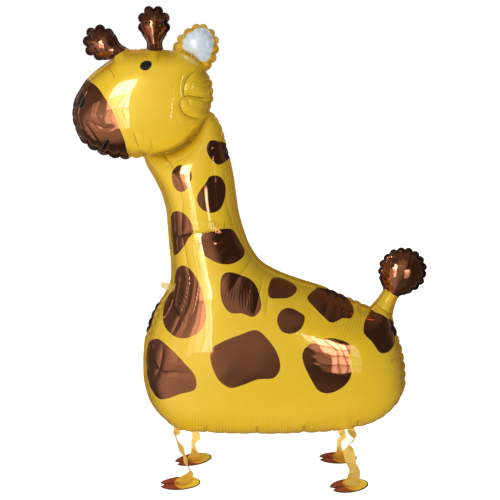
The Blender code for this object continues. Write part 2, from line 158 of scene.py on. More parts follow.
# The outline, clockwise as the near side shows it, in shares of HEIGHT. Each stretch:
# name, whether it starts at a corner, pitch and depth of its scallops, how strongly the
# foil puckers there, and its points (x, z).
OUTLINE = [
    ("jaw", True, 0.026, 0.005, 1.0,
     [CHIN, (-0.251, 0.6975), (-0.277, 0.6975), (-0.304, 0.704), (-0.327, 0.7135),
      (-0.347, 0.7285)]),
    ("muzzle", False, 0.022, 0.0012, 0.5,
     [(-0.357, 0.745), (-0.363, 0.762), (-0.367, 0.781), (-0.366, 0.799)]),
    ("forehead", False, 0, 0, 0.3,
     [(-0.360, 0.820), (-0.349, 0.838), (-0.336, 0.856), (-0.319, 0.872), (-0.301, 0.885)]),
    *knob("front_horn", (-0.280, 0.899), (-0.246, 0.915), [(0.25, 0.0172)],
          (-0.305, 0.9285), 0.0350, 130, 0.026, 0.007, 1.6),
    ("crown", True, 0.017, 0.002, 0.6, [(-0.246, 0.915), (-0.230, 0.9165)]),
    *knob("rear_horn", (-0.213, 0.917), (-0.180, 0.915), [(0.25, 0.0158)],
          (-0.197, 0.9665), 0.0335, 134, 0.026, 0.007, 1.6),
    ("poll", True, 0, 0, 0.4, [(-0.180, 0.915)]),
    ("ear", True, 0.021, 0.005, 0.7,
     [EAR_FRONT, (-0.159, 0.926), (-0.150, 0.941), (-0.133, 0.955), (-0.119, 0.963),
      (-0.104, 0.966), (-0.088, 0.959), (-0.076, 0.949), (-0.069, 0.935), (-0.068, 0.920),
      (-0.072, 0.901), (-0.082, 0.883)]),
    ("nape", True, 0.0175, 0.003, 0.9,
     [EAR_BACK, (-0.085, 0.858), (-0.081, 0.840), (-0.081, 0.818)]),
    ("withers", True, 0.017, 0.0015, 0.6,
     [NAPE, (-0.080, 0.789), (-0.070, 0.774), (-0.061, 0.752), (-0.054, 0.722)]),
    ("back", False, 0, 0, 0.15,
     [(-0.046, 0.691), (-0.040, 0.659), (-0.035, 0.621), (-0.030, 0.588), (-0.020, 0.552),
      (-0.007, 0.518), (0.016, 0.485), (0.050, 0.464), (0.099, 0.445)]),
    ("loin", False, 0.020, 0.0025, 0.5, [(0.146, 0.430), (0.189, 0.411), (0.221, 0.397)]),
    *knob("tail", (0.249, 0.384), (0.298, 0.362), [(0.2, 0.0215), (0.47, 0.0198)],
          (0.315, 0.461), 0.0520, 146, 0.0185, 0.0045, 1.0),
    ("rump", True, 0.020, 0.003, 0.9,
     [(0.298, 0.362), (0.307, 0.333), (0.318, 0.302), (0.327, 0.268), (0.332, 0.231)]),
    ("haunch", False, 0.026, 0.0015, 0.8,
     [(0.331, 0.199), (0.3205, 0.171), (0.302, 0.1445), (0.273, 0.124)]),
    ("belly", False, 0.030, 0.0018, 0.8,
     [(0.228, 0.1085), (0.170, 0.101), (0.082, 0.0975), (-0.007, 0.0965),
      (-0.084, 0.0978), (-0.128, 0.0985), (-0.153, 0.099), (-0.171, 0.103)]),
    ("brisket", False, 0, 0, 0.5,
     [(-0.1965, 0.127), (-0.2195, 0.155), (-0.2325, 0.187), (-0.2385, 0.222),
      (-0.2385, 0.263)]),
    ("chest", False, 0.020, 0.0025, 0.6, [(-0.235, 0.304), (-0.225, 0.349), (-0.209, 0.385)]),
    ("throat", False, 0, 0, 0.15,
     [(-0.190, 0.411), (-0.176, 0.442), (-0.174, 0.477), (-0.177, 0.520), (-0.179, 0.558),
      (-0.182, 0.596), (-0.192, 0.632), (-0.206, 0.661), (-0.218, 0.683)]),
]

# Weld lines across the envelope: under the head, and where the ear joins it
INNER_WELDS = {
    "head": [CHIN, (-0.207, 0.707), (-0.185, 0.710), (-0.164, 0.715), (-0.144, 0.725),
             (-0.125, 0.740), (-0.111, 0.757), (-0.102, 0.774), NAPE],
    "ear": [EAR_FRONT, (-0.149, 0.9145), (-0.136, 0.909), (-0.120, 0.901),
            (-0.108, 0.890), EAR_BACK],
}

# The print. Every closed patch is a smooth curve round its points, on the foil as it is
# blown up; a patch that runs off the edge has points outside it.
BROWN_PATCHES = {
    "snout": [(-0.3517, 0.862), (-0.3237, 0.853), (-0.3047, 0.843), (-0.2897, 0.825),
              (-0.2727, 0.797), (-0.2587, 0.757), (-0.2527, 0.735), (-0.2547, 0.704),
              (-0.2667, 0.675), (-0.3367, 0.680), (-0.4067, 0.750), (-0.3917, 0.840)],
    "front_horn": [(-0.2787, 0.899), (-0.2587, 0.911), (-0.2467, 0.940), (-0.2967, 1.000),
                   (-0.3667, 0.960), (-0.3517, 0.900), (-0.3067, 0.882)],
    "rear_horn": [(-0.2150, 0.917), (-0.1980, 0.912), (-0.1800, 0.915), (-0.1567, 0.950),
                  (-0.1567, 1.020), (-0.2467, 1.020), (-0.2420, 0.945)],
    "tail": [(0.2553, 0.424), (0.2693, 0.4225), (0.2833, 0.4215), (0.2983, 0.412),
             (0.3233, 0.395), (0.3833, 0.430), (0.3733, 0.540), (0.2533, 0.530),
             (0.2283, 0.450)],
    "nape_spot": [(-0.0937, 0.722), (-0.0867, 0.737), (-0.0697, 0.735), (-0.0467, 0.722),
                  (-0.0467, 0.702), (-0.0697, 0.690), (-0.0837, 0.700)],
    "throat_spot": [(-0.1637, 0.670), (-0.1587, 0.683), (-0.1477, 0.690), (-0.1347, 0.688),
                    (-0.1237, 0.677), (-0.1237, 0.661), (-0.1347, 0.642), (-0.1467, 0.637),
                    (-0.1587, 0.646)],
    "neck_spot": [(-0.0947, 0.656), (-0.0867, 0.668), (-0.0687, 0.667), (-0.0567, 0.650),
                  (-0.0567, 0.626), (-0.0677, 0.602), (-0.0867, 0.596), (-0.1067, 0.608),
                  (-0.1127, 0.626), (-0.1047, 0.643)],
    "low_throat_spot": [(-0.1707, 0.575), (-0.1627, 0.594), (-0.1487, 0.597), (-0.1317, 0.587),
                        (-0.1207, 0.562), (-0.1317, 0.543), (-0.1567, 0.507), (-0.1647, 0.504),
                        (-0.1717, 0.535)],
    "shoulder_spot": [(-0.1077, 0.553), (-0.0917, 0.557), (-0.0617, 0.563), (-0.0427, 0.559),
                      (-0.0287, 0.537), (-0.0177, 0.508), (-0.0367, 0.496), (-0.0617, 0.495),
                      (-0.0887, 0.506), (-0.1077, 0.522)],
    "chest_spot": [(-0.1557, 0.478), (-0.1427, 0.488), (-0.1267, 0.481), (-0.1097, 0.458),
                   (-0.0977, 0.420), (-0.0957, 0.388), (-0.1077, 0.363), (-0.1367, 0.346),
                   (-0.1647, 0.348), (-0.1857, 0.368), (-0.1857, 0.398), (-0.1697, 0.430)],
    "breast_edge": [(-0.1967, 0.402), (-0.2097, 0.372), (-0.2267, 0.328), (-0.2567, 0.320),
                    (-0.2467, 0.370), (-0.2167, 0.410)],
    "back_spot": [(-0.0637, 0.471), (-0.0527, 0.479), (-0.0247, 0.472), (-0.0007, 0.457),
                  (0.0113, 0.437), (0.0143, 0.408), (-0.0007, 0.393), (-0.0227, 0.400),
                  (-0.0467, 0.402), (-0.0627, 0.423)],
    "loin_spot": [(0.0303, 0.442), (0.0373, 0.455), (0.0633, 0.449), (0.0903, 0.434),
                  (0.0753, 0.424), (0.0483, 0.424), (0.0333, 0.427)],
    "flank_spot": [(0.0473, 0.386), (0.0553, 0.402), (0.0713, 0.406), (0.0913, 0.398),
                   (0.1033, 0.388), (0.0953, 0.367), (0.0753, 0.358), (0.0563, 0.364)],
    "croup_spot": [(0.1103, 0.419), (0.1233, 0.426), (0.1503, 0.424), (0.1783, 0.416),
                   (0.2003, 0.401), (0.2103, 0.387), (0.2013, 0.377), (0.1833, 0.379),
                   (0.1583, 0.374), (0.1403, 0.388), (0.1233, 0.404)],
    "rump_spot": [(0.2473, 0.377), (0.2683, 0.376), (0.2983, 0.350), (0.3113, 0.325),
                  (0.2983, 0.313), (0.2773, 0.304), (0.2613, 0.307), (0.2433, 0.331),
                  (0.2263, 0.350), (0.2323, 0.370)],
    "side_spot": [(-0.0867, 0.306), (-0.0837, 0.328), (-0.0647, 0.342), (-0.0267, 0.358),
                  (0.0053, 0.367), (0.0273, 0.350), (0.0483, 0.318), (0.0533, 0.288),
                  (0.0413, 0.269), (0.0083, 0.265), (-0.0217, 0.253), (-0.0467, 0.246),
                  (-0.0707, 0.263)],
    "thigh_spot": [(0.0983, 0.311), (0.1033, 0.328), (0.1233, 0.340), (0.1503, 0.346),
                   (0.1783, 0.340), (0.1963, 0.329), (0.1943, 0.300), (0.1993, 0.270),
                   (0.1873, 0.248), (0.1583, 0.232), (0.1353, 0.236), (0.1173, 0.262)],
    "brisket_spot": [(-0.2267, 0.295), (-0.2167, 0.320), (-0.1967, 0.333), (-0.1717, 0.322),
                     (-0.1367, 0.291), (-0.1187, 0.268), (-0.1187, 0.240), (-0.1517, 0.224),
                     (-0.1817, 0.207), (-0.1997, 0.202), (-0.2197, 0.224), (-0.2287, 0.262)],
}
WHITE_PATCHES = {
    "inner_ear": [(-0.1407, 0.925), (-0.1357, 0.939), (-0.1197, 0.951), (-0.1017, 0.957),
                  (-0.0877, 0.951), (-0.0797, 0.935), (-0.0817, 0.912), (-0.0927, 0.892),
                  (-0.1047, 0.892), (-0.1207, 0.905), (-0.1377, 0.915)],
}
EYE = [(-0.2192, 0.8815), (-0.2148, 0.8895), (-0.2070, 0.8925), (-0.1988, 0.8905),
       (-0.1962, 0.8845), (-0.2005, 0.8765), (-0.2080, 0.8733), (-0.2160, 0.8755)]
NOSTRIL = [(-0.3420, 0.833), (-0.3325, 0.826), (-0.3300, 0.812), (-0.3375, 0.802),
           (-0.3460, 0.803), (-0.3495, 0.818)]
MOUTH = [(-0.2870, 0.738), (-0.2945, 0.728), (-0.3060, 0.716)]
MOUTH_WIDTH = 0.0078

# Folds of the blown-up foil away from its edge: depth, half width, and the way it runs
FOLDS = [
    (0.0030, 0.005, [(-0.2892, 0.883), (-0.2757, 0.871), (-0.268, 0.8575)]),
    (0.0018, 0.004, [(-0.1857, 0.912), (-0.185, 0.888)]),
    (0.0030, 0.005, [(-0.2332, 0.758), (-0.2313, 0.740), (-0.2268, 0.719)]),
    (0.0020, 0.004, [(-0.2013, 0.744), (-0.2018, 0.714)]),
    (0.0022, 0.004, [(-0.3400, 0.783), (-0.3150, 0.774), (-0.2930, 0.764), (-0.2700, 0.768)]),
    (0.0020, 0.004, [(-0.3350, 0.777), (-0.3200, 0.755), (-0.3070, 0.733)]),
    # The back of the head: two lobes with a fold between them
    (0.0060, 0.0045, [(-0.1109, 0.875), (-0.1236, 0.865), (-0.1309, 0.852), (-0.1338, 0.837),
                     (-0.1367, 0.823)]),
    (0.0065, 0.0045, [(-0.1367, 0.823), (-0.1239, 0.826), (-0.1091, 0.823), (-0.0925, 0.8206)]),
    (0.0060, 0.0045, [(-0.1367, 0.823), (-0.1416, 0.812), (-0.1402, 0.8004), (-0.1305, 0.788),
                     (-0.1159, 0.782), (-0.1014, 0.779)]),
    # The neck
    (0.0020, 0.006, [(-0.1368, 0.731), (-0.119, 0.754), (-0.1092, 0.765)]),
    (0.0028, 0.005, [(-0.1881, 0.714), (-0.1669, 0.693), (-0.1542, 0.676)]),
    (0.0026, 0.006, [(-0.1604, 0.672), (-0.1504, 0.649), (-0.1427, 0.621), (-0.1433, 0.591),
                     (-0.146, 0.560), (-0.140, 0.528), (-0.1339, 0.497), (-0.129, 0.461),
                     (-0.132, 0.437), (-0.1404, 0.408), (-0.1572, 0.367), (-0.1764, 0.332)]),
    (0.0030, 0.005, [(-0.1742, 0.5316), (-0.1542, 0.5445), (-0.1344, 0.553), (-0.120, 0.555),
                     (-0.1028, 0.557), (-0.0868, 0.559), (-0.0669, 0.5544), (-0.0551, 0.556)]),
    (0.0018, 0.004, [(-0.0600, 0.690), (-0.0560, 0.640), (-0.0500, 0.590), (-0.0400, 0.560)]),
    (0.0018, 0.004, [(-0.0480, 0.600), (-0.0400, 0.560), (-0.0240, 0.527), (-0.0060, 0.502)]),
    # The shoulder and the back
    (0.0020, 0.005, [(-0.017, 0.515), (-0.039, 0.508), (-0.0608, 0.499)]),
    (0.0026, 0.005, [(-0.0004, 0.500), (-0.0079, 0.492), (-0.0265, 0.473), (-0.0491, 0.440)]),
    (0.0026, 0.005, [(0.0198, 0.465), (0.0106, 0.430), (0.0013, 0.396)]),
    (0.0020, 0.006, [(0.032, 0.4475), (0.0275, 0.423), (0.0253, 0.394)]),
    (0.0025, 0.005, [(-0.1735, 0.464), (-0.171, 0.435), (-0.1648, 0.412), (-0.1487, 0.387),
                     (-0.1361, 0.377)]),
    (0.0018, 0.006, [(0.1674, 0.420), (0.1517, 0.403), (0.1415, 0.383)]),
    # A star of folds on the brisket
    (0.0030, 0.006, [(-0.2226, 0.293), (-0.1954, 0.270), (-0.1644, 0.271), (-0.1285, 0.276)]),
    (0.0030, 0.006, [(-0.2125, 0.238), (-0.1954, 0.270), (-0.1876, 0.309), (-0.1853, 0.328)]),
    (0.0022, 0.005, [(-0.1954, 0.270), (-0.2167, 0.269), (-0.2322, 0.254)]),
    # The root of the tail and the rump
    (0.0035, 0.006, [(0.2534, 0.391), (0.2779, 0.382), (0.3105, 0.349)]),
    (0.0028, 0.004, [(0.310, 0.2835), (0.2999, 0.285), (0.2856, 0.2806)]),
    # The belly
    (0.0034, 0.005, [(-0.0999, 0.104), (-0.0999, 0.125), (-0.0985, 0.150)]),
    (0.0034, 0.005, [(0.0078, 0.104), (0.0078, 0.125), (0.0085, 0.152)]),
    (0.0034, 0.005, [(0.1073, 0.104), (0.1073, 0.125), (0.1080, 0.155)]),
    (0.0034, 0.005, [(0.2233, 0.112), (0.2233, 0.135), (0.2215, 0.158)]),
]

# Fine pleats beside a line: pitch, depth, how dark their bottoms look, slant (how far
# they run along the line for a step to its left), how far they reach to its right and
# to its left, and the line
PLEATS = [
    (0.0075, 0.00070, 0.25, 0.0, (0.008, 0.011), INNER_WELDS["head"]),
    (0.0080, 0.00050, 0.25, 0.0, (0.008, 0.010), INNER_WELDS["ear"]),
    (0.0094, 0.00050, 1.0, -0.6, (0.032, 0.002),
     [(-0.1278, 0.485), (-0.129, 0.461), (-0.132, 0.437), (-0.1404, 0.408), (-0.1509, 0.379)]),
    (0.0064, 0.00030, 1.3, 0.45, (0.016, 0.036),
     [(-0.0586, 0.4475), (-0.0387, 0.432), (-0.0147, 0.420), (0.0113, 0.409)]),
    (0.0070, 0.00030, 0.7, -0.35, (0.036, 0.010),
     [(0.1519, 0.381), (0.1877, 0.372), (0.2334, 0.366)]),
    (0.0055, 0.00050, 0.35, 0.0, (0.0, 0.050),
     [(-0.1386, 0.825), (-0.1408, 0.806), (-0.136, 0.785)]),
    (0.0050, 0.00030, 0.2, 0.2, (0.0, 0.040),
     [(-0.1236, 0.865), (-0.1328, 0.846), (-0.1367, 0.827)]),
    (0.0088, 0.00090, 1.5, 0.5, (0.050, 0.0),
     [(0.322, 0.331), (0.331, 0.286), (0.331, 0.2475), (0.331, 0.200)]),
    (0.0060, 0.00022, 1.2, 0.0, (0.034, 0.012),
     [(-0.0946, 0.572), (-0.0748, 0.570), (-0.0512, 0.567)]),
    (0.0060, 0.00020, 0.45, 0.0, (0.014, 0.024),
     [(-0.0709, 0.530), (-0.0351, 0.519), (-0.0149, 0.506)]),
    (0.0066, 0.00080, 0.80, 0.0, (0.0, 0.092),
     [(-0.171, 0.103), (-0.084, 0.0978), (-0.007, 0.0965), (0.082, 0.0975), (0.170, 0.101),
      (0.273, 0.124)]),
    (0.0060, 0.00060, 0.35, 0.0, (0.0, 0.040),
     [(-0.3270, 0.7135), (-0.3040, 0.704), (-0.2770, 0.6975), (-0.2510, 0.6975)]),
]


# The photograph's view: focal length and sensor width in millimetres, place, and how many
# degrees it looks down
LENS = (56.08, 36)
EYE_PLACE = (-0.0067, -1.60, 0.85)
EYE_TILT = 12.105

# The room. To the camera it is white, and matt things get less light from it. Reflections
# show it dark, with glows: turn and rise in degrees from straight before the balloon, how
# many degrees off a glow ends and is full, and its strength.
WHITE_ROOM, MATT_ROOM, DARK_ROOM = 1.05, 0.28, 0.05
GLOWS = [(-16, 4, 40, 8, 0.38), (-52, -28, 42, 8, 0.52), (-78, 0, 50, 10, 0.14),
         (5, -48, 38, 8, 0.10), (0, 38, 32, 8, 0.32), (0, 85, 55, 20, 0.10)]
WALL_BEHIND = (180, 10, 80, 40)
WALL_GLOW, WALL_COLOUR = 0.10, (1.0, 0.68, 0.32)

# Windows: name, the place on the foil that they are set out from, the degrees where their
# columns and rows of panes begin and end, how far away they are, the rows' brightness, and
# the width of their bars and of their beam if they aren't the usual ones
WINDOWS = [
    ("left_window", (-0.12, -0.06, 0.62), (-37, -30, -23, -19.5, -16.5), (-22, 2, 15, 33), 2.0,
     ((1.2, 2, 4, 6), (2.5, 4, 8, 16), (11, 13, 15, 15)), {}),
    ("right_window", (0.16, -0.10, 0.32), (17, 21.5, 26, 30.5, 35, 41), (-18, -10, -2, 6, 15),
     1.1, ((0.3, 2.4, 2.4, 2.4, 1.0), (0.6, 3.6, 3.6, 3.6, 1.4), (1.2, 5, 5, 5, 2),
           (6, 9, 9, 9, 3)), {"bar": 0.018, "beam": 25}),
    ("neck_window", (-0.085, -0.06, 0.63), (16.5, 23.5), (-17, -12, -7, -2, 3, 8), 2.5,
     ((9,),) * 5, {"bar": 0, "beam": 6}),
    ("door", (-0.27, -0.07, 0.80), (-60, -52, -46), (-28, -12, 12), 2.2,
     ((0.3, 0.3), (0.5, 0.6)), {}),
    ("far_door", (-0.33, -0.05, 0.80), (-116, -108), (-20, 0, 25), 2.2, ((0.4,), (0.8,)), {}),
    ("edge_window", (-0.13, -0.06, 0.84), (54, 57.4, 60.8), (5.5, 9.5, 13.5, 17.5, 21), 2.1,
     ((8, 8),) * 4, {"bar": 0, "beam": 5}),
]

# Soft lights, which reflections don't show: name, place, target, size and brightness
SOFT_LIGHTS = [
    ("key", (-1.5, -2.6, 0.7), (0, 0, 0.4), (2.2, 1.2), 1.42),
    ("front", (-0.4, -1.5, 0.45), (0.0, 0, 0.05), (1.6, 0.6), 0.5),
    ("back", (0.9, 2.6, 1.8), (0, 0, 0.5), (2.2, 2.2), 1.3),
    ("top", (-0.9, -0.7, 2.5), (0, 0, 0.6), (1.8, 1.8), 2.7),
    ("fill", (1.6, -2.8, 1.0), (0, 0, 0.4), (2.0, 1.4), 0.25),
]

# Legs: name, side (-1 near, 1 far), x where the ribbon is glued to the belly, hoof
# centre (x, y), turn of the hoof's toes towards the near side in degrees, and the
# ribbon's way down: x, how far it has gone out to its last point, how much of the
# drop is left, and the heading of its width (0 along X, 90 edge-on from the side).
LEGS = [
    ("front_near", -1, -0.169, (-0.1585, -0.0535), 9,
     [(-0.1705, 0.07, 0.86, 84), (-0.165, 0.15, 0.70, 90), (-0.1585, 0.20, 0.585, 72),
      (-0.152, 0.27, 0.455, 92), (-0.148, 0.35, 0.33, 82), (-0.1425, 0.40, 0.215, 112),
      (-0.1395, 0.47, 0.115, 105), (-0.1435, 0.64, 0.045, 135), (-0.1535, 0.86, 0, 147),
      (-0.1600, 1.0, 0, 147)],
     0.056),
    ("front_far", 1, -0.128, (-0.1375, 0.0565), 26,
     [(-0.1270, 0.2, 0.83, 32), (-0.1290, 0.45, 0.64, 18), (-0.1320, 0.74, 0.45, 85),
      (-0.1310, 1.09, 0.25, 128), (-0.1320, 1.32, 0.11, 150), (-0.1360, 1.22, 0, 156),
      (-0.1400, 1.0, 0, 156)],
     0.049),
    ("rear_near", -1, 0.216, (0.2070, -0.0630), 21,
     [(0.2200, 0.12, 0.89, 35), (0.2238, 0.18, 0.84, 65), (0.2225, 0.18, 0.78, 65),
      (0.2150, 0.17, 0.71, 62), (0.2100, 0.18, 0.63, 62), (0.2100, 0.21, 0.55, 25),
      (0.2120, 0.26, 0.45, 8), (0.2150, 0.30, 0.34, 10), (0.2180, 0.33, 0.24, 40),
      (0.2215, 0.36, 0.16, 25), (0.2225, 0.42, 0.09, -5), (0.2190, 0.58, 0.035, -15),
      (0.2130, 0.80, 0, -17), (0.2105, 1.0, 0, -17)],
     0.067),
    ("rear_far", 1, 0.195, (0.1965, 0.0640), 2,
     [(0.1995, 0.18, 0.83, 60), (0.1990, 0.43, 0.64, 15), (0.1995, 0.71, 0.45, 60),
      (0.2040, 1.02, 0.25, 105), (0.2065, 1.28, 0.12, 145), (0.2055, 1.24, 0, 155),
      (0.2010, 1.0, 0, 155)],
     0.056),
]


def through(points, steps=16, closed=False):
    """Points close together on a smooth curve through the given ones, and the index of
    each given point among them."""
    p = np.asarray(points, float)
    if closed:
        p = np.vstack([p[-1:], p, p[:2]])
    else:
        p = np.vstack([2 * p[:1] - p[1:2], p, 2 * p[-1:] - p[-2:-1]])
    curve = []
    for k in range(1, len(p) - 2):
        a, b, c, d = p[k - 1:k + 3]
        ta = 0.0
        tb = ta + math.sqrt(np.linalg.norm(b - a))
        tc = tb + math.sqrt(np.linalg.norm(c - b))
        td = tc + math.sqrt(np.linalg.norm(d - c))
        t = np.linspace(tb, tc, steps, endpoint=False)[:, None]
        ab = (tb - t) / (tb - ta) * a + (t - ta) / (tb - ta) * b
        bc = (tc - t) / (tc - tb) * b + (t - tb) / (tc - tb) * c
        cd = (td - t) / (td - tc) * c + (t - tc) / (td - tc) * d
        left = (tc - t) / (tc - ta) * ab + (t - ta) / (tc - ta) * bc
        right = (td - t) / (td - tb) * bc + (t - tb) / (td - tb) * cd
        curve.append((tc - t) / (tc - tb) * left + (t - tb) / (tc - tb) * right)
    if not closed:
        curve.append(p[-2:-1])
    return np.vstack(curve), [steps * k for k in range(len(points))]


def along(curve, count):
    """count equal steps along a curve; the last point is left for what follows."""
    length = np.concatenate([[0], np.cumsum(np.linalg.norm(np.diff(curve, axis=0), axis=1))])
    at = np.linspace(0, length[-1], count, endpoint=False)
    return np.column_stack([np.interp(at, length, curve[:, k]) for k in range(curve.shape[1])])


def curve_length(curve):
    return float(np.sum(np.linalg.norm(np.diff(curve, axis=0), axis=1)))


def smooth_curve(way):
    """A smooth curve through points that are given in shares of HEIGHT."""
    return through(np.array(way) * HEIGHT)[0]


def unit(vectors):
    return vectors / np.linalg.norm(vectors, axis=1, keepdims=True)


def edge_points():
    """The envelope's edge as evenly stepped points, and for each point how far it is
    drawn in by the scallops, its place among them and how strongly the foil puckers."""
    runs = []
    for stretch in OUTLINE:
        if stretch[1]:
            runs.append([])
        runs[-1].append(stretch)
    points, drawn_in, phases, strengths = [], [], [], []
    count = 0
    for number, run in enumerate(runs):
        after = runs[(number + 1) % len(runs)][0][5][0]
        marks = [p for stretch in run for p in stretch[5]] + [after]
        curve, index = through(np.array(marks) * HEIGHT)
        start = 0
        for _, _, pitch, depth, strength, own in run:
            piece = curve[index[start]:index[start + len(own)] + 1]
            start += len(own)
            length = curve_length(piece)
            lobes = max(1, round(length / ((pitch or 0.024) * HEIGHT)))
            steps = max(3, round(length / lobes / EDGE_STEP))
            phase = np.arange(lobes * steps) / steps
            fade = np.clip(np.minimum(phase, lobes - phase) / 0.6, 0, 1)
            draw = depth * HEIGHT * (1 - np.abs(np.sin(math.pi * phase)) ** 0.8) * fade
            points.append(along(piece, len(draw)))
            drawn_in.append(draw)
            phases.append(count + phase)
            count += lobes
            strengths.append(np.full(len(draw), strength))
    return (np.vstack(points), np.concatenate(drawn_in), np.concatenate(phases),
            np.concatenate(strengths), count)


def inward(loop):
    """Unit normals of a clockwise loop, pointing into it."""
    tangent = np.roll(loop, -1, axis=0) - np.roll(loop, 1, axis=0)
    tangent = tangent + 0.5 * (np.roll(tangent, 1, axis=0) + np.roll(tangent, -1, axis=0))
    normal = np.column_stack([tangent[:, 1], -tangent[:, 0]])
    return unit(normal)


def smoothed(values, width):
    """A closed run of values, each blended with its neighbours."""
    kernel = np.hanning(2 * width + 3)[1:-1]
    kernel /= kernel.sum()
    wrapped = np.concatenate([values[-width:], values, values[:width]])
    return np.convolve(wrapped, kernel, "valid")


class Line:
    """A line of points in the seam plane that other points are measured from."""

    def __init__(self, points, closed):
        self.points = np.asarray(points, float)
        after = np.roll(self.points, -1, axis=0)
        self.spans = after - self.points
        if not closed:
            self.spans[-1] = 0
        steps = np.linalg.norm(self.spans, axis=1)
        self.length = np.concatenate([[0], np.cumsum(steps)[:-1]])
        self.steps = np.maximum(steps, 1e-9)
        self.closed = closed
        self.tree = KDTree(len(self.points))
        for k, p in enumerate(self.points):
            self.tree.insert((p[0], p[1], 0), k)
        self.tree.balance()

    def nearest(self, points):
        """Distance from each point, and the index along the line, with its fraction."""
        hits = np.array([self.tree.find((p[0], p[1], 0))[1] for p in points])
        best = np.full(len(points), np.inf)
        place = np.zeros(len(points))
        for shift in (-1, 0):
            k = (hits + shift) % len(self.points) if self.closed else np.maximum(hits + shift, 0)
            span = self.spans[k]
            t = np.sum((points - self.points[k]) * span, axis=1)
            t = np.clip(t / np.maximum(np.sum(span * span, axis=1), 1e-18), 0, 1)
            gap = np.linalg.norm(points - self.points[k] - t[:, None] * span, axis=1)
            closer = gap < best
            best = np.where(closer, gap, best)
            place = np.where(closer, k + t, place)
        return best, place

    def distance(self, points):
        return self.nearest(points)[0]

    def beside(self, points):
        """Signed distance, positive to the left of the line's way, the length gone along
        it, and the share of the whole."""
        gap, place = self.nearest(points)
        k = np.minimum(place.astype(int), len(self.points) - 2)
        off = points - self.points[k]
        span = self.spans[k]
        left = span[:, 0] * off[:, 1] - span[:, 1] * off[:, 0]
        gone = np.interp(place, np.arange(len(self.points)), self.length)
        return np.where(left > 0, gap, -gap), gone, gone / self.length[-1]


def inside(points, loop):
    """Which points a closed loop holds."""
    x, z = points[:, 0], points[:, 1]
    held = np.zeros(len(points), bool)
    for (x1, z1), (x2, z2) in zip(loop, np.roll(loop, -1, axis=0)):
        if z1 != z2:
            crosses = (z1 > z) != (z2 > z)
            held ^= crosses & (x < x1 + (z - z1) * (x2 - x1) / (z2 - z1))
    return held


def thinned(groups):
    """Points of all groups in order, without any that crowds one before it."""
    cell = max(room for _, room in groups)
    kept, cells = [], {}
    for points, room in groups:
        for x, z in points:
            i, j = int(x // cell), int(z // cell)
            near = (q for di in (-1, 0, 1) for dj in (-1, 0, 1)
                    for q in cells.get((i + di, j + dj), ()))
            if all((q[0] - x) ** 2 + (q[1] - z) ** 2 > room * room for q in near):
                cells.setdefault((i, j), []).append((x, z))
                kept.append((x, z))
    return np.array(kept)


def side_lines(line, offset, step):
    """Two lines of points beside an open line."""
    dense = along(line, max(2, round(curve_length(line) / step)))
    tangent = np.gradient(dense, axis=0)
    normal = unit(np.column_stack([tangent[:, 1], -tangent[:, 0]]))
    return np.vstack([dense + offset * normal, dense - offset * normal])


def flat_panel():
    """The flat panel, cut into small triangles, and its edge."""
    base, drawn_in, phase, strength, lobes = edge_points()
    normal = inward(base)
    rim = base + normal * drawn_in[:, None]
    weld = rim + normal * SEAM_WIDTH
    rim_line = Line(rim, True)
    welds = [np.vstack([along(line, round(curve_length(line) / EDGE_STEP)), line[-1:]])
             for line in map(smooth_curve, INNER_WELDS.values())]
    weld_lines = [Line(line, False) for line in welds]

    def kept(points, clear, weld_clear):
        ok = inside(points, rim) & (rim_line.distance(points) > clear)
        for line in weld_lines:
            ok &= line.distance(points) > weld_clear
        return points[ok]

    groups = [(rim, 0.0)]
    groups += [(line[1:-1], 0.3 * EDGE_STEP) for line in welds]
    on_weld = weld[rim_line.distance(weld) > 0.9 * SEAM_WIDTH]
    groups.append((kept(on_weld, 0.9 * SEAM_WIDTH, 0.5 * EDGE_STEP), 0.5 * EDGE_STEP))
    for share in SEAM_ROWS:
        row = rim + normal * SEAM_WIDTH * share
        groups.append((kept(row, 0.8 * SEAM_WIDTH * share, 0.5 * EDGE_STEP), 0.5 * EDGE_STEP))
    for depth in RING_DEPTHS:
        room = max(0.42 * EDGE_STEP, 0.11 * depth + 0.0004)
        ring = weld + normal * depth
        groups.append((kept(ring, SEAM_WIDTH + 0.8 * depth, 0.8 * depth), room))
        for line in welds:
            groups.append((kept(side_lines(line, depth, EDGE_STEP), SEAM_WIDTH + 0.8 * depth,
                                0.8 * depth), room))
    low, high = rim.min(axis=0), rim.max(axis=0)
    rows = np.arange(low[1], high[1], MESH_SIZE * math.sqrt(0.75))
    grid = [(x + (row % 2) * MESH_SIZE / 2, z) for row, z in enumerate(rows)
            for x in np.arange(low[0], high[0], MESH_SIZE)]
    groups.append((kept(np.array(grid), 0.5 * MESH_SIZE + SEAM_WIDTH, 0.5 * MESH_SIZE),
                   0.75 * MESH_SIZE))
    points = thinned(groups)

    edges = [(k, (k + 1) % len(rim)) for k in range(len(rim))]
    found = delaunay_2d_cdt([Vector(p) for p in points], edges, [], 1, 1e-6)
    flat = np.array([tuple(v) for v in found[0]])
    triangles = np.array(found[2])
    across = flat[triangles[:, 1]] - flat[triangles[:, 0]]
    up = flat[triangles[:, 2]] - flat[triangles[:, 0]]
    area = across[:, 0] * up[:, 1] - across[:, 1] * up[:, 0]
    triangles[area < 0] = triangles[area < 0][:, ::-1]
    return flat, triangles, base, rim, phase, strength, lobes, weld_lines


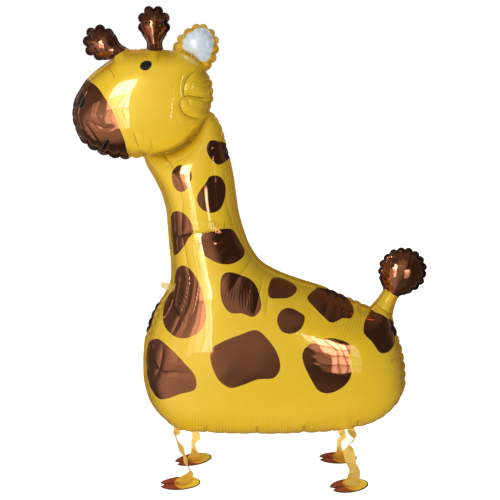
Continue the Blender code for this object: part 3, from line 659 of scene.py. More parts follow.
def blown_up(flat, triangles, free):
    """How far each point of a panel rises from the seam plane when it is inflated.
    The rise follows a soap film's height over the same outline, as a square root."""
    a, b, c = (flat[triangles[:, k]] for k in range(3))
    area = 0.5 * ((b - a)[:, 0] * (c - a)[:, 1] - (b - a)[:, 1] * (c - a)[:, 0])
    area = np.maximum(area, 1e-12)
    slopes = np.stack([c - b, a - c, b - a], axis=1)
    count = len(flat)
    load = np.bincount(triangles.ravel(), np.repeat(area / 3, 3), count)
    first, second, share = [], [], []
    for i, j in ((0, 1), (1, 2), (2, 0)):
        first.append(triangles[:, i])
        second.append(triangles[:, j])
        share.append(np.sum(slopes[:, i] * slopes[:, j], axis=1) / (4 * area))
    first, second, share = (np.concatenate(q) for q in (first, second, share))
    own = -np.bincount(first, share, count) - np.bincount(second, share, count)

    def pull(u):
        return (own * u + np.bincount(first, share * u[second], count)
                + np.bincount(second, share * u[first], count))

    # Conjugate gradients, with the edge held at zero
    film = np.zeros(count)
    left = np.where(free, load, 0.0)
    scaled = left / own
    way = scaled.copy()
    drop = left @ scaled
    for _ in range(SOLVER_ROUNDS):
        push = np.where(free, pull(way), 0.0)
        step = drop / (way @ push)
        film += step * way
        left -= step * push
        scaled = left / own
        new_drop = left @ scaled
        if new_drop < SOLVER_LIMIT * (load @ (load / own)):
            break
        way = scaled + new_drop / drop * way
        drop = new_drop
    film = np.sqrt(2 * np.clip(film, 0, None))
    rise = film * (FULLNESS - FLATTENING * film / HEIGHT)
    return np.maximum(rise, SEAM_THICKNESS / 2)


def patch_depth(points, patch):
    """How deep each point lies inside a closed printed patch; negative outside it."""
    loop = through(np.array(patch) * HEIGHT, 10, closed=True)[0]
    gap = Line(loop, True).distance(points)
    return np.where(inside(points, loop), gap, -gap)


def valley(phase, reach_of, t, sharpness):
    """Puckers that run in from the edge: 1 in the valleys at whole phases, 0 between
    them, fading towards each pucker's own reach."""
    nearest = np.round(phase).astype(int) % len(reach_of)
    reach = reach_of[nearest]
    fade = np.clip(1 - t / reach, 0, 1) ** 1.3 * np.clip(t / PUCKER_START, 0, 1) ** 0.7
    return (1 - np.abs(np.sin(math.pi * phase)) ** sharpness) * fade


def puckered(flat, t, place, base_length, phase, strength, lobes):
    """How far the foil is drawn inwards at each point by the puckers along its edge, and
    the place and depth of the fine ripples between them."""
    draws = np.random.default_rng(PUCKER_SEED)
    lean_knots = smoothed(draws.uniform(-1, 1, len(phase)), 12)
    lean_knots *= LEAN / np.max(np.abs(lean_knots))
    index = np.arange(len(phase) + 1)
    wrapped = np.append(phase, lobes)
    lobes_per_metre = smoothed(np.diff(wrapped) / np.maximum(np.diff(base_length), 1e-9), 6)
    strong = smoothed(strength, 8)

    def at(values):
        return np.interp(place, index, np.append(values, values[0]))

    shift = at(lean_knots) * t * at(lobes_per_metre)
    here = np.interp(place, index, wrapped) + shift
    power = at(strong)
    s = np.interp(place, index, base_length)
    depth = np.zeros(len(flat))
    major = MAJOR_REACH * draws.uniform(0.35, 1.0, lobes + 1)
    weight = draws.uniform(0.5, 1.0, lobes + 1)
    nearest = np.round(here).astype(int) % (lobes + 1)
    depth += MAJOR_DEPTH * weight[nearest] * valley(here, major, t, 0.7)
    minor = MINOR_REACH * draws.uniform(0.4, 1.0, 3 * lobes + 1)
    weight = draws.uniform(0.2, 1.0, 3 * lobes + 1)
    nearest = np.round(3 * here).astype(int) % (3 * lobes + 1)
    depth += MINOR_DEPTH * weight[nearest] * valley(3 * here, minor, t, 0.8)
    ripple = (s + 0.5 * shift / np.maximum(at(lobes_per_metre), 1e-9)) / FINE_PITCH
    ripple_depth = FINE_DEPTH * power * np.clip(1 - t / FINE_REACH, 0, 1)
    return depth * power, ripple, ripple_depth


def beside_way(flat, way, reach):
    """Which points lie in the box round a smooth line, with room for its reach, and where
    they lie beside it: signed distance, length gone along it and share of the whole."""
    curve = smooth_curve(way)
    low, high = np.min(curve, axis=0) - reach, np.max(curve, axis=0) + reach
    near = np.flatnonzero(np.all((flat > low) & (flat < high), axis=1))
    return near, *Line(curve, False).beside(flat[near])


def faded(share, ends):
    """1 along a line, and down to 0 over a share of it at each end."""
    return np.clip(np.minimum(share, 1 - share) / ends, 0, 1)


def folded(flat):
    """How far the foil is drawn inwards at each point by the folds away from its edge,
    and for the nearest fold the signed distance to it and its depth there."""
    depth, crease = np.zeros(len(flat)), np.zeros(len(flat))
    side = np.full(len(flat), FAR_FROM_FOLD)
    for deep, half_width, way in FOLDS:
        near, gap, _, share = beside_way(flat, way, 5 * half_width)
        ends = faded(share, FOLD_ENDS) ** 0.7
        depth[near] = np.maximum(depth[near], deep * ends * np.exp(-np.abs(gap) / half_width))
        closer = np.abs(gap) < np.abs(side[near])
        side[near[closer]] = gap[closer]
        crease[near[closer]] = (CREASE_DEPTH * deep * ends)[closer]
    return depth, side, crease


def pleated(flat):
    """The place among the fine pleats, in pitches, their depth and their darkness at
    each point."""
    turn, depth, dark = (np.zeros(len(flat)) for _ in range(3))
    for pitch, deep, shade, slant, reaches, way in PLEATS:
        near, gap, gone, share = beside_way(flat, way, max(reaches))
        reach = np.where(gap > 0, reaches[1], reaches[0]) + 1e-6
        share = faded(share, PLEAT_ENDS) * np.clip(1 - np.abs(gap) / reach, 0, 1)
        own = deep * share
        deeper = own > depth[near]
        turn[near[deeper]] = ((gone + slant * gap) / pitch)[deeper]
        depth[near[deeper]] = own[deeper]
        dark[near[deeper]] = (shade * share ** 0.7)[deeper]
    return turn, depth, dark


def head_rounded(flat, rise):
    """The rise, with the middle of the head flatter and its rim fuller, as inelastic
    foil blows up."""
    x, z = flat[:, 0] / HEIGHT, flat[:, 1] / HEIGHT
    weld = np.array(INNER_WELDS["head"])
    floor = np.interp(x, weld[:, 0], weld[:, 1])
    head = (z > floor) & (x < -0.06) & ((x > CHIN[0]) | (z > 0.69))
    top = rise[head].max()
    fuller = top * (1 - np.clip(1 - rise / top, 0, 1) ** HEAD_FLATNESS)
    share = np.where(head, np.clip((0.905 - z) / 0.02, 0, 1), 0)
    return rise + share * (fuller - rise)


def undulating(places):
    """Slow waves of the foil."""
    slow, quick = SLOW_WAVES, QUICK_WAVES
    wave = [noise.noise(Vector((x * slow, y * slow, z * slow))) + 0.5 * noise.noise(
        Vector((x * quick + WAVE_OFFSET, y * quick, z * quick))) for x, y, z in places]
    return UNDULATION * np.array(wave)


def surface_normals(places, triangles):
    """Unit normals at the points of a mesh."""
    a, b, c = (places[triangles[:, k]] for k in range(3))
    face = np.cross(b - a, c - a)
    total = np.zeros_like(places)
    for k in range(3):
        for axis in range(3):
            total[:, axis] += np.bincount(triangles[:, k], face[:, axis], len(places))
    return total / np.maximum(np.linalg.norm(total, axis=1, keepdims=True), 1e-15)


def add_object(name, data):
    """An object in the scene."""
    made = bpy.data.objects.new(name, data)
    bpy.context.scene.collection.objects.link(made)
    return made


def add_mesh(name, places, faces, looks, smooth=True):
    """A mesh object whose points are already in place."""
    mesh = bpy.data.meshes.new(name)
    mesh.from_pydata(np.asarray(places, float).tolist(), [], [tuple(map(int, f)) for f in faces])
    for look in looks:
        mesh.materials.append(look)
    if smooth:
        mesh.shade_smooth()
    mesh.update()
    return add_object(name, mesh)


def add_values(mesh, name, values, kind="FLOAT"):
    """A number or a direction at each point of a mesh."""
    attribute = mesh.attributes.new(name, kind, "POINT")
    attribute.data.foreach_set("value" if kind == "FLOAT" else "vector",
                               np.asarray(values, np.float32).ravel())


def make_envelope(look, panel, shift):
    """Both panels of the blown-up envelope, as one closed mesh with its print."""
    flat, triangles, base, rim, phase, strength, lobes, weld_lines = panel
    rim_line = Line(rim, True)
    to_rim = rim_line.distance(flat)
    to_inner = np.minimum(*(line.distance(flat) for line in weld_lines))
    tight = 0.4 * RING_DEPTHS[0]
    free = (to_rim > SEAM_WIDTH + tight) & (to_inner > tight)
    rise = head_rounded(flat, blown_up(flat, triangles, free))

    _, place = Line(base, True).nearest(flat)
    steps = np.linalg.norm(np.roll(base, -1, axis=0) - base, axis=1)
    base_length = np.concatenate([[0], np.cumsum(steps)])
    t = np.clip(to_rim - SEAM_WIDTH, 0, None)
    drawn, ripple, ripple_depth = puckered(flat, t, place, base_length, phase, strength, lobes)
    sunk, fold_side, crease = folded(flat)
    pleat, pleat_depth, pleat_shade = pleated(flat)
    depth = drawn + sunk
    near = np.column_stack([flat[:, 0], -rise, flat[:, 1]])
    blown = np.clip(np.minimum(t, to_inner) / BLOWN_FROM, 0, 1)
    normal = surface_normals(near, triangles)
    wave = undulating(near) * blown
    near -= normal * (np.minimum(depth, 0.6 * rise) * np.minimum(blown * 3, 1) + wave)[:, None]

    # The free edge waves out of its plane, both foils together
    loose = np.clip(1 - to_rim / SEAM_WIDTH, 0, 1) * np.interp(
        place, np.arange(len(strength)), smoothed(strength, 8))
    scallop = np.interp(place, np.arange(len(phase) + 1), np.append(phase, lobes))
    ruffle = RUFFLE * loose * np.sin(math.pi * scallop)
    far = near * (1, -1, 1)
    near[:, 1] += ruffle
    far[:, 1] += ruffle

    # The rim's points are the panel's first ones, in order
    count = len(flat)
    edge = np.arange(len(rim))
    assert np.allclose(flat[edge], rim, atol=1e-6)
    faces = [tuple(q) for q in triangles] + [tuple(q[::-1] + count) for q in triangles]
    for here, there in zip(edge, np.roll(edge, -1)):
        faces += [(here, there, there + count), (here, there + count, here + count)]
    places = np.vstack([near, far])
    places[:, 0] += shift
    piece = add_mesh("foil_envelope", places, faces, [look])

    brown, white = (np.max([patch_depth(flat, p) for p in patches.values()], axis=0)
                    for patches in (BROWN_PATCHES, WHITE_PATCHES))
    mouth = MOUTH_WIDTH / 2 - Line(smooth_curve(MOUTH), False).distance(flat)
    black = np.max([patch_depth(flat, EYE), patch_depth(flat, NOSTRIL), mouth], axis=0)
    for name, values in (("brown_print", brown), ("white_print", white),
                         ("black_print", black), ("from_rim", to_rim),
                         ("ripple", ripple), ("ripple_depth", ripple_depth),
                         ("ripple_shade", ripple_depth / FINE_DEPTH * RIPPLE_SHADE),
                         ("pleat", pleat), ("pleat_depth", pleat_depth),
                         ("pleat_shade", pleat_shade),
                         ("fold_side", fold_side), ("crease", crease)):
        add_values(piece.data, name, np.concatenate([values, values]))
    print("envelope:", len(places), "points", len(faces), "faces")
    return piece


def feed(tree, node, inputs):
    """Gives a node its inputs, as plain values or from other nodes' outputs."""
    for key, value in inputs.items():
        if isinstance(value, bpy.types.NodeSocket):
            tree.links.new(value, node.inputs[key])
        else:
            node.inputs[key].default_value = value


def add_node(tree, kind, inputs=None, **settings):
    """The outputs of a new node with these inputs and settings."""
    node = tree.nodes.new(kind)
    for key, value in settings.items():
        setattr(node, key, value)
    feed(tree, node, inputs or {})
    return node.outputs


def add_math(tree, operation, *inputs, **settings):
    return add_node(tree, "ShaderNodeMath", dict(enumerate(inputs)), operation=operation,
                    **settings)[0]


def node_group(name, kind, inputs, outputs):
    """An empty node group, what it is given and what it gives. inputs has the name, kind
    and usual value of each input, and outputs the name and kind of each output."""
    tree = bpy.data.node_groups.new(name, kind)
    for label, socket_kind, value in inputs:
        socket = tree.interface.new_socket(label, in_out="INPUT",
                                           socket_type="NodeSocket" + socket_kind)
        if value is not None:
            socket.default_value = value
    for label, socket_kind in outputs:
        tree.interface.new_socket(label, in_out="OUTPUT",
                                  socket_type="NodeSocket" + socket_kind)
    given = add_node(tree, "NodeGroupInput")
    return tree, given, tree.nodes.new("NodeGroupOutput").inputs


def ribbon_tree():
    """Geometry nodes that sweep a flat strip along a line of points, whose width runs
    along the points' own directions, crumple it a little and give it its thickness."""
    tree, given, out = node_group(
        "paper_ribbon", "GeometryNodeTree",
        [("Way", "Geometry", None), ("Thickness", "Float", RIBBON_THICKNESS),
         ("Columns", "Int", RIBBON_COLUMNS), ("Crumple", "Float", CRUMPLE),
         ("Front", "Material", None), ("Back", "Material", None)],
        [("Ribbon", "Geometry")])

    def add(kind, inputs=None, **settings):
        return add_node(tree, "GeometryNode" + kind, inputs, **settings)

    across = add("InputNamedAttribute", {"Name": "across"}, data_type="FLOAT_VECTOR")["Attribute"]
    half = add("InputNamedAttribute", {"Name": "half_width"}, data_type="FLOAT")["Attribute"]
    curve = add("MeshToCurve", {"Mesh": given["Way"]})[0]
    curve = add("SetCurveNormal", {"Curve": curve, "Normal": across}, mode="FREE")[0]
    line = add("CurvePrimitiveLine", {"Start": (-1, 0, 0), "End": (1, 0, 0)})[0]
    line = add("ResampleCurve", {"Curve": line, "Count": given["Columns"]})[0]
    strip = add("CurveToMesh", {"Curve": curve, "Profile Curve": line, "Scale": half})[0]
    # Crumpled paper: slow noise along the normal
    wave = add_node(tree, "ShaderNodeTexNoise", {"Scale": CRUMPLE_SCALE, "Detail": 1.0})["Fac"]
    lift = add_math(tree, "MULTIPLY", add_math(tree, "SUBTRACT", wave, 0.5), given["Crumple"])
    push = add_node(tree, "ShaderNodeVectorMath", {0: add("InputNormal")[0],
                                                   "Scale": add_math(tree, "MULTIPLY", lift, 2.0)},
                    operation="SCALE")[0]
    strip = add("SetPosition", {"Geometry": strip, "Offset": push})[0]
    thick = add("ExtrudeMesh", {"Individual": False, "Mesh": strip,
                                "Offset Scale": given["Thickness"]})
    front = add("SetMaterial", {"Geometry": thick["Mesh"], "Material": given["Back"]})[0]
    front = add("SetMaterial", {"Geometry": front, "Selection": thick["Top"],
                                "Material": given["Front"]})[0]
    back = add("FlipFaces", {"Mesh": strip})[0]
    back = add("SetMaterial", {"Geometry": back, "Material": given["Back"]})[0]
    both = tree.nodes.new("GeometryNodeJoinGeometry")
    tree.links.new(front, both.inputs[0])
    tree.links.new(back, both.inputs[0])
    solid = add("MergeByDistance", {"Distance": 0.00002, "Geometry": both.outputs[0]})[0]
    tree.links.new(add("RealizeInstances", {"Geometry": solid})[0], out[0])
    return tree


def swept(name, centres, across, half_widths, tree, settings):
    """A plain mesh object of the strip that the tree sweeps along the centres."""
    way = bpy.data.meshes.new(name + "_way")
    way.from_pydata(centres.tolist(), [(k, k + 1) for k in range(len(centres) - 1)], [])
    add_values(way, "across", across, "FLOAT_VECTOR")
    add_values(way, "half_width", half_widths)
    guide = add_object(name + "_way", way)
    modifier = guide.modifiers.new("sweep", "NODES")
    modifier.node_group = tree
    sockets = {s.name: s.identifier for s in tree.interface.items_tree if s.in_out == "INPUT"}
    for key, value in settings.items():
        modifier[sockets[key]] = value
    graph = bpy.context.evaluated_depsgraph_get()
    mesh = bpy.data.meshes.new_from_object(guide.evaluated_get(graph))
    guide.modifiers.remove(modifier)
    bpy.data.objects.remove(guide)
    mesh.shade_smooth()
    mesh.set_sharp_from_angle(angle=math.radians(50))
    return add_object(name, mesh)


def lowest_edge(rim, x):
    """Height of the belly's edge at x."""
    heights = []
    for (x1, z1), (x2, z2) in zip(rim, np.roll(rim, -1, axis=0)):
        if min(x1, x2) <= x < max(x1, x2):
            heights.append(z1 + (x - x1) * (z2 - z1) / (x2 - x1))
    return min(heights)


def make_leg(leg, rim, shift, tree, looks):
    """A twisted paper ribbon, from the belly seam down to the top of its hoof."""
    name, side, top_x, _, _, way, reach = leg
    seam = lowest_edge(rim, top_x * HEIGHT)
    tab = SEAM_THICKNESS / 2 + GAP + RIBBON_THICKNESS / 2
    floor = HOOF_THICKNESS + GAP + RIBBON_THICKNESS
    stations = [(top_x * HEIGHT, side * tab, seam + RIBBON_OVERLAP, 0),
                (top_x * HEIGHT, side * tab, seam - RIBBON_STRAIGHT, 0)]
    for x, out, left, turn in way:
        across = tab + out * (reach * HEIGHT - tab)
        stations.append((x * HEIGHT, side * across, floor + left * (seam - floor), turn))
    stations = np.array(stations) * (1, 1, 1, TWIST_SCALE)
    dense, index = through(stations, RIBBON_STEPS)
    dense[index[-2]:, 2] = floor
    dense[:index[1] + 1, [1, 3]] = side * tab, 0
    turn = np.radians(dense[:, 3] / TWIST_SCALE)
    heading = np.column_stack([np.cos(turn), np.sin(turn), np.zeros(len(turn))])
    centres = dense[:, :3] + (shift, 0, 0)
    tangent = unit(np.gradient(centres, axis=0))
    across = unit(heading - np.sum(heading * tangent, axis=1, keepdims=True) * tangent)
    share = np.clip((np.arange(len(dense)) - index[-4]) / (index[-1] - index[-4]), 0, 1)
    width = RIBBON_WIDTH + (RIBBON_END_WIDTH - RIBBON_WIDTH) * share
    widening = index[RIBBON_TAPER]
    width[:widening] = np.linspace(RIBBON_TAB_WIDTH, RIBBON_WIDTH, widening)
    width[-RIBBON_STEPS:] *= np.sqrt(1 - np.linspace(0.0, 0.97, RIBBON_STEPS) ** 2)
    # A section that would dip into the hoof is lifted onto it
    dip = floor - (centres[:, 2] - np.abs(across[:, 2]) * width / 2)
    centres[:, 2] += np.clip(dip, 0, None)
    return swept("paper_leg_" + name, centres, across, width / 2, tree,
                 {"Front": looks[0], "Back": looks[1], "Thickness": RIBBON_THICKNESS,
                  "Columns": RIBBON_COLUMNS, "Crumple": CRUMPLE})


def make_hoof(leg, shift, look):
    """An oval card sole with a cleft between its two toes, and its print."""
    name, _, _, (x, y), turn, _, _ = leg
    a, b = HOOF_LENGTH / 2, HOOF_WIDTH / 2
    toe = math.asin(CLEFT_WIDTH / 2 / b)
    angles = np.linspace(toe, 2 * math.pi - toe, HOOF_SIDES)
    loop = [(-a * math.cos(t), b * math.sin(t)) for t in angles]
    tip = loop[0][0] + CLEFT_DEPTH + CLEFT_END
    loop = np.array(loop + [(tip, -0.08 * CLEFT_WIDTH), (tip, 0.08 * CLEFT_WIDTH)])
    count = len(loop)
    shares = 1 - (np.arange(HOOF_RINGS) / HOOF_RINGS) ** 1.15
    rings = np.vstack([loop * share for share in shares] + [[(0.0, 0.0)]])
    inset = Line(loop, True).distance(rings)
    round_off = HOOF_ROUNDING * np.clip(1 - inset / HOOF_ROUNDED, 0, 1) ** 2
    places = np.vstack([np.column_stack([rings, HOOF_THICKNESS - round_off]),
                        np.column_stack([rings, round_off])])
    middle = HOOF_RINGS * count
    faces = []
    for ring in range(HOOF_RINGS):
        for k in range(count):
            here, there = ring * count + k, ring * count + (k + 1) % count
            if ring < HOOF_RINGS - 1:
                face = (here, here + count, there + count, there)
            else:
                face = (here, middle, there)
            faces.append(face)
            faces.append(tuple(q + len(rings) for q in reversed(face)))
    for k in range(count):
        after = (k + 1) % count
        faces.append((k, after, after + len(rings), k + len(rings)))
    heading = math.radians(turn)
    cos, sin = math.cos(heading), math.sin(heading)
    px, py = places[:, 0], places[:, 1]
    turned = np.column_stack([x * HEIGHT + shift + cos * px - sin * py,
                              y * HEIGHT + sin * px + cos * py, places[:, 2]])
    hoof = add_mesh("card_hoof_" + name, turned, faces, [look])
    hoof.data.set_sharp_from_angle(angle=math.radians(60))
    pad = PAD_RADIUS - np.hypot(px - PAD_PLACE, py * 1.02)
    wedge = SPLIT_HALF_WIDTH + 0.05 * np.clip(-px - SPLIT_WIDENS, 0, None)
    for label, values in (("pad_print", pad),
                          ("split_print", np.where(px < 0, wedge - np.abs(py), -0.01)),
                          ("from_edge", np.concatenate([inset, inset])),
                          ("along_hoof", px), ("across_hoof", py)):
        add_values(hoof.data, label, values)
    return hoof


def make_valve(rim, shift, tree, look):
    """A curled film tab, glued to the near face of the chest seam."""
    height = VALVE_RISE * HEIGHT
    chest = rim[(rim[:, 0] < -0.1 * HEIGHT) & (np.abs(rim[:, 1] - height) < 0.05 * HEIGHT)]
    chest = chest[np.argsort(chest[:, 1])]
    edge = float(np.interp(height, chest[:, 1], chest[:, 0]))
    slope = np.polyfit(chest[:, 1], chest[:, 0], 1)[0]
    up = np.array((slope, 1.0)) / math.hypot(slope, 1.0)
    out = np.array((-up[1], up[0]))
    lie = SEAM_THICKNESS / 2 + GAP + VALVE_THICKNESS / 2
    reach = np.linspace(-VALVE_OVERLAP, VALVE_LENGTH - VALVE_OVERLAP, VALVE_STEPS)
    free = np.clip(reach, 0, None) / (VALVE_LENGTH - VALVE_OVERLAP)
    curl = -lie - VALVE_CURL * VALVE_LENGTH * free ** 2
    place = np.array((edge, height)) + reach[:, None] * out
    centres = np.column_stack([place[:, 0] + shift, curl, place[:, 1]])
    across = np.tile((up[0], 0.0, up[1]), (len(reach), 1))
    width = VALVE_WIDTH * (1 - 0.25 * free)
    width[-5:] *= np.sqrt(1 - np.linspace(0, 0.8, 5) ** 2)
    return swept("film_valve", centres, across, width / 2, tree,
                 {"Front": look, "Back": look, "Thickness": VALVE_THICKNESS / 3,
                  "Columns": RIBBON_COLUMNS, "Crumple": CRUMPLE / 2})


class Look:
    """A material under construction: its shader, and short calls for common nodes."""

    def __init__(self, name):
        self.made = bpy.data.materials.new(name)
        self.made.use_nodes = True
        self.tree = self.made.node_tree
        self.shader = self.tree.nodes["Principled BSDF"]

    def add(self, kind, inputs=None, **settings):
        return add_node(self.tree, "ShaderNode" + kind, inputs, **settings)

    def value(self, name):
        """A number stored at the points of the piece."""
        return self.add("Attribute", attribute_name=name)["Fac"]

    def span(self, value, low, high):
        """0 where a number is at low, 1 where it is at high, and no less or more."""
        return self.add("MapRange", {"Value": value, "From Min": low, "From Max": high})["Result"]

    def mixed(self, amount, low, high):
        """Two colours or numbers, blended by an amount."""
        colour = any(isinstance(v, tuple) or getattr(v, "type", "") == "RGBA"
                     for v in (low, high))
        low, high = ((*v, 1.0) if isinstance(v, tuple) else v for v in (low, high))
        a, b, out = (6, 7, 2) if colour else (2, 3, 0)
        return self.add("Mix", {0: amount, a: low, b: high},
                        data_type="RGBA" if colour else "FLOAT")[out]

    def calc(self, operation, *inputs, **settings):
        return add_math(self.tree, operation, *inputs, **settings)

    def feed(self, **sockets):
        feed(self.tree, self.shader,
             {key.replace("_", " "): (*value, 1.0) if isinstance(value, tuple) else value
              for key, value in sockets.items()})
        return self.made


def fibre_group():
    """Paper fibre: an uneven tone and a fine height, from the piece's own coordinates."""
    tree, given, out = node_group("paper_fibre", "ShaderNodeTree", [("Scale", "Float", 900.0)],
                                  [("Tone", "Float"), ("Height", "Float")])
    place = add_node(tree, "ShaderNodeTexCoord")["Object"]
    fine = add_node(tree, "ShaderNodeTexNoise",
                    {"Vector": place, "Scale": given["Scale"], "Detail": 4.0})
    broad = add_node(tree, "ShaderNodeTexNoise", {"Vector": place, "Scale": 60.0})
    tree.links.new(broad["Fac"], out["Tone"])
    tree.links.new(fine["Fac"], out["Height"])
    return tree


def fibred(look, fibre, low, high, strength):
    """The uneven tone and the relief that paper fibre gives a look."""
    fibres = look.add("Group", node_tree=fibre)
    bump = look.add("Bump", {"Strength": strength, "Distance": 0.0002,
                             "Height": fibres["Height"]})
    return look.span(fibres["Tone"], low, high), bump["Normal"]


def paper(name, colour, deep, fibre):
    """Uncoated coloured paper."""
    look = Look(name)
    tone, bump = fibred(look, fibre, 0.35, 0.65, 0.25)
    return look.feed(Base_Color=look.mixed(tone, deep, colour), Roughness=0.62,
                     Specular_IOR_Level=0.25, Normal=bump)


def printed_card(fibre):
    """Card printed with a red-brown hoof, a dark split and outline, and a yellow pad."""
    look = Look("printed_card")
    tone, bump = fibred(look, fibre, 0.3, 0.7, 0.1)
    brown = look.mixed(tone, (0.33, 0.052, 0.018), (0.42, 0.072, 0.026))
    split = look.span(look.value("split_print"), -0.0008, 0.0012)
    brown = look.mixed(split, brown, (0.035, 0.006, 0.004))
    along, across = look.value("along_hoof"), look.value("across_hoof")
    pad = look.mixed(look.span(along, -0.008, 0.030), (0.86, 0.42, 0.030), (1.0, 0.74, 0.055))
    # A painted shadow on the pad, beside where the ribbon's end rises off it
    ribbon_shadow = look.calc("MULTIPLY", look.span(across, -0.014, 0.001),
                       look.span(along, 0.022, 0.002))
    ribbon_shadow = look.calc("MULTIPLY", ribbon_shadow, look.span(across, 0.012, 0.001))
    pad = look.mixed(ribbon_shadow, pad, (0.50, 0.19, 0.020))
    colour = look.mixed(look.span(look.value("pad_print"), -0.0003, 0.0003), brown, pad)
    edge = look.span(look.value("from_edge"), 0.0027, 0.0019)
    colour = look.mixed(edge, colour, (0.022, 0.014, 0.010))
    return look.feed(Base_Color=colour, Roughness=0.5, Specular_IOR_Level=0.35, Normal=bump)


def clear_film():
    """Thin clear film with a faint yellow tint."""
    return Look("clear_film").feed(Base_Color=(0.90, 0.74, 0.24), Roughness=0.12, Alpha=0.55)


def pleat_group():
    """The height of fine pleats: a place in pitches, a depth and a darkness in, a height
    and how shaded the bottoms between them are out. Each pleat has its own strength."""
    tree, given, out = node_group(
        "fine_pleats", "ShaderNodeTree",
        [(name, "Float", None) for name in ("Place", "Depth", "Dark")],
        [("Height", "Float"), ("Shade", "Float")])

    def calc(operation, *inputs):
        return add_math(tree, operation, *inputs)

    wave = calc("ABSOLUTE", calc("SINE", calc("MULTIPLY", given["Place"], math.pi)))
    draw = add_node(tree, "ShaderNodeTexWhiteNoise", {"W": calc("FLOOR", given["Place"])},
                    noise_dimensions="1D")["Value"]
    strength = calc("MULTIPLY_ADD", draw, 0.75, 0.25)
    bottom = calc("POWER", calc("SUBTRACT", 1.0, wave), 1.2)
    tree.links.new(calc("MULTIPLY", wave, calc("MULTIPLY", strength, given["Depth"])),
                   out["Height"])
    tree.links.new(calc("MULTIPLY", calc("MULTIPLY", strength, given["Dark"]), bottom),
                   out["Shade"])
    return tree


def printed_foil():
    """Metallised film printed yellow, with copper-brown, white and black patches, and
    the ripples, pleats and creases that are finer than the mesh."""
    look = Look("printed_foil")
    brown = look.span(look.value("brown_print"), -0.0005, 0.0005)
    white = look.span(look.value("white_print"), -0.0005, 0.0005)
    black = look.span(look.value("black_print"), -0.0007, 0.0007)
    weld = look.span(look.value("from_rim"), 0.0072, 0.0064)
    group = pleat_group()
    away = look.calc("ABSOLUTE", look.value("fold_side"))
    crease = look.value("crease")
    height = look.calc("MULTIPLY", look.span(away, 0.0, CREASE_WIDTH), crease)
    # Painted shade along the bottom of a crease; the ripples' and pleats' painted shade is added
    # to it
    shade = look.calc("MULTIPLY", look.span(away, 0.0011, 0.0003), look.span(crease, 0.0, 0.0003))
    for name in ("ripple", "pleat"):
        lines = look.add("Group", {k: look.value(name + part) for k, part in
                                   enumerate(("", "_depth", "_shade"))}, node_tree=group)
        height = look.calc("ADD", height, lines["Height"])
        shade = look.calc("ADD", shade, lines["Shade"], use_clamp=True)
    bump = look.add("Bump", {"Strength": 1.0, "Distance": 1.0, "Height": height})["Normal"]

    # Painted shade: where the foil is seen at a slant its yellow turns deeper and more orange,
    # standing in for the dark room that it mirrors there, and the bottoms of creases, ripples
    # and pleats are painted darker
    slant = look.span(look.add("LayerWeight", {"Blend": 0.5})["Facing"], 0.25, 0.95)
    yellow = look.mixed(slant, (0.77, 0.49, 0.018), (0.52, 0.285, 0.006))
    # Painted shade on the weld: its yellow is darker, standing in for the crimped, tilted flange
    # mirroring the dark room
    yellow = look.mixed(weld, yellow, (0.46, 0.25, 0.008))
    yellow = look.mixed(shade, yellow, (0.36, 0.19, 0.006))
    # Painted shade on the weld: its copper is near black, for the same dark reflection
    copper = look.mixed(weld, (0.40, 0.135, 0.053), (0.040, 0.013, 0.008))
    # The same painted shade at the bottoms of creases, ripples and pleats darkens the copper
    copper = look.mixed(shade, copper, (0.05, 0.014, 0.006))
    colour = look.mixed(brown, yellow, copper)
    metal = look.mixed(brown, 0.08, 0.97)
    for print_, ink, shine in ((white, (0.62, 0.68, 0.74), 0.1),
                               (black, (0.004, 0.004, 0.004), 0.0)):
        colour = look.mixed(print_, colour, ink)
        metal = look.mixed(print_, metal, shine)
    rough = look.mixed(weld, look.mixed(brown, 0.28, 0.08), 0.40)
    coat = look.mixed(weld, look.mixed(brown, 1.0, 0.45), 0.2)
    return look.feed(Base_Color=colour, Metallic=metal, Roughness=rough,
                     Coat_Weight=coat, Coat_Roughness=0.03, Coat_IOR=1.55,
                     Specular_IOR_Level=0.15, Normal=bump, Coat_Normal=bump)


def camera():
    """The photograph's view."""
    lens = bpy.data.cameras.new("camera")
    lens.lens, lens.sensor_width = LENS
    lens.clip_start = 0.05
    eye = add_object("camera", lens)
    eye.location = EYE_PLACE
    eye.rotation_euler = (math.radians(90 - EYE_TILT), 0, 0)
    bpy.context.scene.camera = eye


def panel_light(name, place, target, size, strength, seen=True, lights=True, beam=None):
    """A rectangular light of a given brightness. It shows in glossy surfaces if seen,
    and lights matt ones if lights. With a beam it only shows within so many degrees of
    the way it points."""
    light = bpy.data.lights.new(name, "AREA")
    light.shape = "RECTANGLE"
    light.size, light.size_y = size
    light.energy = strength * math.pi * size[0] * size[1]
    if beam:
        half = math.radians(beam)
        light.spread = 2 * half
        light.energy *= (math.tan(half) - half) / math.tan(half)
    lamp = add_object(name, light)
    lamp.location = place
    lamp.rotation_euler = (Vector(target) - Vector(place)).to_track_quat("-Z", "Y").to_euler()
    lamp.visible_glossy = seen
    lamp.visible_diffuse = lights


def window(name, here, turns, rises, away, strengths, bar=0.012, beam=None):
    """A window of panes, as the place here on the foil mirrors it: turns and rises are
    the degrees where its columns and rows of panes begin and end, and strengths the
    brightness of each row, from its left pane to its right one. With a beam each pane
    points at here, and otherwise straight out of the window."""
    here = Vector(here)
    middle = math.radians((turns[0] + turns[-1]) / 2)
    out = Vector((math.sin(middle), -math.cos(middle), 0))
    side = Vector((math.cos(middle), math.sin(middle), 0))
    columns = [away * math.tan(math.radians(t) - middle) for t in turns]
    rows = [away * math.tan(math.radians(r)) for r in rises]
    for c, (x1, x2) in enumerate(zip(columns, columns[1:])):
        for r, (z1, z2) in enumerate(zip(rows, rows[1:])):
            pane = here + out * away + side * (x1 + x2) / 2 + Vector((0, 0, (z1 + z2) / 2))
            gap = bar * away
            panel_light(f"{name}_{c}_{r}", pane, here if beam else pane - out,
                        (x2 - x1 - gap, z2 - z1 - gap), strengths[r][c], lights=False,
                        beam=beam)


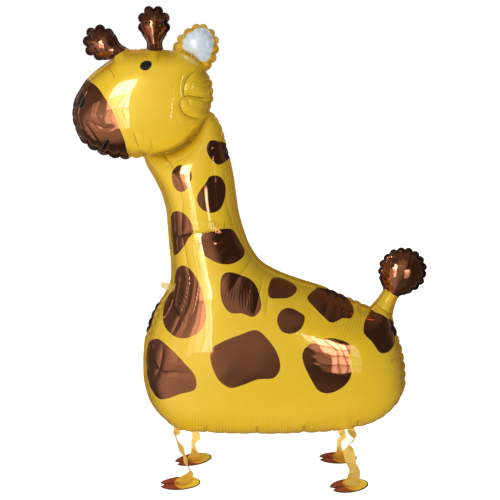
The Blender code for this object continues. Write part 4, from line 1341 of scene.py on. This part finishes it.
def room():
    """The white room round the balloon. It is white to the camera, softer where it lights
    matt things, and in reflections it is dark apart from a few glows."""
    world = bpy.data.worlds.new("room")
    bpy.context.scene.world = world
    world.use_nodes = True
    tree = world.node_tree

    def add(kind, inputs=None, **settings):
        return add_node(tree, "ShaderNode" + kind, inputs, **settings)

    way = add("TexCoord")["Generated"]

    def lobe(turn, rise, wide, narrow, strength):
        a, b = math.radians(turn), math.radians(rise)
        towards = (math.sin(a) * math.cos(b), -math.cos(a) * math.cos(b), math.sin(b))
        near = add("VectorMath", {0: way, 1: towards}, operation="DOT_PRODUCT")["Value"]
        return add("MapRange", {"Value": near, "From Min": math.cos(math.radians(wide)),
                                "From Max": math.cos(math.radians(narrow)),
                                "To Max": strength}, interpolation_type="SMOOTHSTEP")["Result"]

    behind = lobe(*WALL_BEHIND, 1.0)
    dark = lobe(*GLOWS[0])
    for more in [lobe(*glow) for glow in GLOWS[1:]] + [
            add_math(tree, "MULTIPLY", behind, WALL_GLOW), DARK_ROOM]:
        dark = add_math(tree, "ADD", dark, more)
    rays = add("LightPath")
    matt = add("Mix", {0: rays["Is Camera Ray"], 2: MATT_ROOM, 3: WHITE_ROOM})[0]
    strength = add("Mix", {0: rays["Is Glossy Ray"], 2: matt, 3: dark})[0]
    warm = add_math(tree, "MULTIPLY", behind, rays["Is Glossy Ray"])
    tint = add("Mix", {0: warm, 6: (1, 1, 1, 1), 7: (*WALL_COLOUR, 1)}, data_type="RGBA")[2]
    feed(tree, tree.nodes["Background"], {"Strength": strength, "Color": tint})


def studio():
    """A white floor, the room, windows that only reflections show, and soft lights."""
    corners = [(-30, -30, 0), (30, -30, 0), (30, 30, 0), (-30, 30, 0)]
    pale = Look("floor").feed(Base_Color=(0.9, 0.9, 0.9), Roughness=0.9,
                              Specular_IOR_Level=0.0, Emission_Color=(1.0, 1.0, 1.0),
                              Emission_Strength=0.80)
    floor = add_mesh("floor", corners, [(0, 1, 2, 3)], [pale], smooth=False)
    floor.visible_glossy = False
    room()
    for name, here, turns, rises, away, strengths, more in WINDOWS:
        window(name, here, turns, rises, away, strengths, **more)
    for name, place, target, size, strength in SOFT_LIGHTS:
        panel_light(name, place, target, size, strength, seen=False)


def dress(piece, node):
    """A finished piece stands for a node of the solid model: it hangs from the root body, and the
    node's own part is hidden.
    """
    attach(piece, "root")
    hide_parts(node)


panel = flat_panel()
rim = panel[3]
shift = cad_low.x - rim[:, 0].min()
dress(make_envelope(printed_foil(), panel, shift), "foil_balloon")
sweep = ribbon_tree()
fibre = fibre_group()
paper_front = paper("yellow_paper", (0.88, 0.53, 0.060), (0.80, 0.46, 0.045), fibre)
paper_back = paper("pale_paper", (0.95, 0.67, 0.16), (0.88, 0.60, 0.12), fibre)
card = printed_card(fibre)
for leg in LEGS:
    dress(make_leg(leg, rim, shift, sweep, (paper_front, paper_back)), "leg_" + leg[0])
    dress(make_hoof(leg, shift, card), "hoof_" + leg[0])
dress(make_valve(rim, shift, sweep, clear_film()), "inflation_valve")

camera()
studio()
bpy.context.scene.view_settings.view_transform = "Standard"
